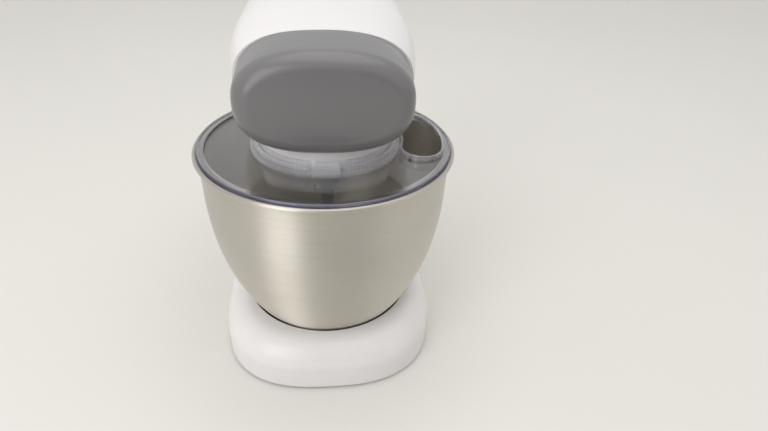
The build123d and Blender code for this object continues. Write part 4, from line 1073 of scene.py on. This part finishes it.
@dataclass
class LidFlange:
    """Low stepped ring of clear plastic round the foot of the lid's collar."""

    shop: Workshop
    inner: float = 60.2 * MM
    outer: float = 66.0 * MM
    base: float = 202.2 * MM
    step: float = 206.4 * MM
    top: float = 209.6 * MM
    ridge: float = 62.0 * MM
    outer_ease: float = 0.6 * MM
    foot_ease: float = 0.4 * MM
    top_ease: float = 0.5 * MM
    steps: int = 128

    def build(self) -> None:
        """Spin the stepped section round the collar."""
        line = [
            (self.inner, self.base),
            (self.outer, self.base),
            (self.outer, self.step - self.outer_ease),
            (self.outer - self.outer_ease, self.step),
            (self.ridge + self.foot_ease, self.step),
            (self.ridge, self.step + self.foot_ease),
            (self.ridge, self.top - self.top_ease),
            (self.ridge - self.top_ease, self.top),
            (self.inner, self.top),
        ]
        bm = self.shop.spun(line, self.steps, closed=True)
        piece = self.shop.finish_piece(bm, "lid_flange", "lid", stands_in=False)
        piece.data.materials.clear()
        # The flange takes the collar's pale veil, a painted highlight.
        piece.data.materials.append(self.shop.extras["clear_collar_with_painted_highlight"])


@dataclass
class Shells:
    """Moulded shells, lid and controls, with their edges eased."""

    shop: Workshop
    edges: dict[str, float] = field(
        default_factory=lambda: {
            "head_upper_shell": 1.0 * MM,
            "head_lower_shell": 1.0 * MM,
            "base_housing": 0.8 * MM,
            "lid": 0.4 * MM,
            "speed_knob": 0.5 * MM,
            "release_button": 0.4 * MM,
            "bowl_seat": 0.4 * MM,
            "planet_carrier": 0.6 * MM,
            "tool_spindle": 0.3 * MM,
            "cross_pin": 0.4 * MM,
            "base_plate": 0.4 * MM,
            "rubber_feet": 0.6 * MM,
            "cord_gland": 0.4 * MM,
            "bowl_foot": 0.4 * MM,
        }
    )
    seam: float = 264.0 * MM
    seam_gap: float = 0.4 * MM
    collar_base: float = 204.4 * MM
    plate_radius: float = 104.5 * MM
    edge_start: float = 107.6 * MM
    edge_share: float = 0.46
    slope: float = 0.5

    def lid_side(self, face: bpy.types.MeshPolygon) -> LidSide:
        """Find which finish a face of the lid has.

        Args:
            face: The face.

        Returns:
            Its side.
        """
        reach = math.hypot(face.center.x, face.center.y - BOWL_Y)
        if face.center.z > self.collar_base and reach < self.plate_radius:
            return LidSide.COLLAR
        on_step = self.plate_radius < reach < self.edge_start and face.normal.z < self.slope
        return LidSide.UNDER if on_step or face.normal.z < -self.slope else LidSide.PLATE

    def dress_lid(self, lid: bpy.types.Object) -> None:
        """Give the lid's collar its pale veil of painted highlight and the underside its own
        finish, and draw its edge in.

        The edge goes in behind the bowl's rim.

        Args:
            lid: The lid.
        """
        for name in ("clear_collar_with_painted_highlight", "clear_under"):
            lid.data.materials.append(self.shop.extras[name])
        for face in lid.data.polygons:
            face.material_index = self.lid_side(face)
        for vert in lid.data.vertices:
            reach = math.hypot(vert.co.x, vert.co.y - BOWL_Y)
            if reach > self.edge_start:
                share = (self.edge_start + self.edge_share * (reach - self.edge_start)) / reach
                vert.co.x *= share
                vert.co.y = BOWL_Y + share * (vert.co.y - BOWL_Y)

    def build(self) -> None:
        """Ease each listed piece, open the seam of the head and dress the lid."""
        gaps = {"head_upper_shell": self.seam_gap, "head_lower_shell": -self.seam_gap}
        for node, width in self.edges.items():
            piece = self.shop.eased(node, width, seam=self.seam, gap=gaps.get(node, 0.0))
            if node == "lid":
                self.dress_lid(piece)


@dataclass
class ReleaseSpring:
    """Coil spring behind the release button; the real one shortens as the button goes in, the copy
    here keeps one length.
    """

    shop: Workshop
    travel: float = 5.0 * MM
    edge: float = 0.1 * MM

    def build(self) -> None:
        """Copy the coil with its edges eased and give it its own mesh."""
        piece = self.shop.eased("release_spring", self.edge)
        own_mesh(piece)


@dataclass
class Insides:
    """Pieces inside the housings, which keep their own shape."""

    shop: Workshop

    def build(self) -> None:
        """Dress every node that is still shown."""
        for name, node in self.shop.frame["nodes"].items():
            if not node.hide_render:
                self.shop.dress(node, self.shop.slot_of(name))
                LOG.info("%s keeps its shape", name)


def finishes() -> dict[Slot, Finish]:
    """Finish of every slot.

    Returns:
        Finish by slot.
    """
    return {
        Slot.WHITE: Finish("white_moulding", (0.81, 0.79, 0.79), 0.3, coat=0.15, bump=0.04),
        Slot.GREY: Finish("grey_moulding", (0.17, 0.165, 0.17), 0.3, coat=0.15, bump=0.04),
        Slot.CLEAR: ClearFinish(
            "clear_plastic",
            (0.9, 0.9, 0.93),
            0.07,
            metallic=1.0,
            bump=0.02,
            smudge=0.08,
            centre_y=BOWL_Y,
        ),
        Slot.BOWL: TurnedFinish(
            "bowl_steel",
            (0.65, 0.62, 0.56),
            0.42,
            metallic=1.0,
            bump=0.1,
            centre_y=BOWL_Y,
            stretch=0.95,
        ),
        Slot.SEAT: Finish("dark_seat", (0.03, 0.03, 0.033), 0.5),
        Slot.COVER: Finish("base_cover", (0.4, 0.39, 0.39), 0.5),
        Slot.FOOT: Finish("foot_rubber", (0.03, 0.03, 0.03), 0.75, bump=0.15),
        Slot.STEEL: TurnedFinish(
            "ground_steel", (0.55, 0.55, 0.56), 0.28, metallic=1.0, centre_y=BOWL_Y
        ),
        Slot.CAST: Finish(
            "cast_frame", (0.6, 0.6, 0.61), 0.5, metallic=1.0, bump=0.3, ripples=2200.0
        ),
        Slot.LAMINATION: TurnedFinish(
            "sheet_stack", (0.2, 0.2, 0.21), 0.45, metallic=0.8, lines=2200.0, contrast=0.8
        ),
        Slot.COPPER: TurnedFinish(
            "copper", (0.72, 0.36, 0.18), 0.3, metallic=1.0, lines=1400.0, contrast=0.7
        ),
        Slot.NYLON: Finish("natural_nylon", (0.82, 0.79, 0.7), 0.45),
        Slot.BLACK: Finish("black_plastic", (0.025, 0.025, 0.025), 0.5),
        Slot.BELT: TurnedFinish(
            "belt_rubber", (0.025, 0.025, 0.025), 0.7, lines=1800.0, contrast=0.6
        ),
        Slot.BOARD: Finish("circuit_board", (0.04, 0.2, 0.09), 0.4, cloud=0.3),
        Slot.BRONZE: Finish(
            "sintered_bronze", (0.5, 0.34, 0.16), 0.5, metallic=1.0, bump=0.3, ripples=2600.0
        ),
    }


def further_finishes() -> list[Finish]:
    """Further materials of the bowl and the lid, which have more than one: lighter copies that
    paint light into the bowl's inside, a highlight on its rim and a highlight on the lid's collar,
    and the lid's underside.

    Returns:
        The finishes.
    """
    return [
        # Painted light: the inside is the same steel made paler and partly diffuse, so it reads
        # brightly lit.
        TurnedFinish(
            "bowl_inside_painted_light",
            (0.93, 0.9, 0.84),
            0.3,
            metallic=0.75,
            bump=0.1,
            centre_y=BOWL_Y,
            stretch=0.9,
        ),
        # The rim is smoother than the outside, which is real polish; its lighter colour is a
        # painted highlight.
        TurnedFinish(
            "bowl_rim_polish_and_highlight", (0.84, 0.81, 0.74), 0.16, metallic=1.0, bump=0.03, centre_y=BOWL_Y
        ),
        # Painted highlight: the collar is a pale plastic that is less clear than the plate, so its
        # rings read lighter.
        ClearFinish(
            "clear_collar_with_painted_highlight",
            (0.82, 0.82, 0.86),
            0.12,
            bump=0.02,
            centre_y=BOWL_Y,
            gloss=0.16,
            grazing=0.5,
            collar_painted_highlight=0.1,
        ),
        ClearFinish(
            "clear_under",
            (0.9, 0.9, 0.93),
            0.07,
            metallic=1.0,
            bump=0.02,
            centre_y=BOWL_Y,
            gloss=0.02,
            grazing=0.1,
        ),
    ]


def main() -> None:
    """Build the mixer over its frame."""
    logging.basicConfig(level=logging.INFO, format="%(name)s: %(message)s")
    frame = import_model()
    Studio().set_up()
    shop = Workshop(frame)
    shop.prepare(finishes(), further_finishes())
    SteelBowl(shop).build()
    NoseCap(shop).build()
    LidFlange(shop).build()
    Shells(shop).build()
    ReleaseSpring(shop).build()
    Insides(shop).build()


if __name__ == "__main__":
    main()
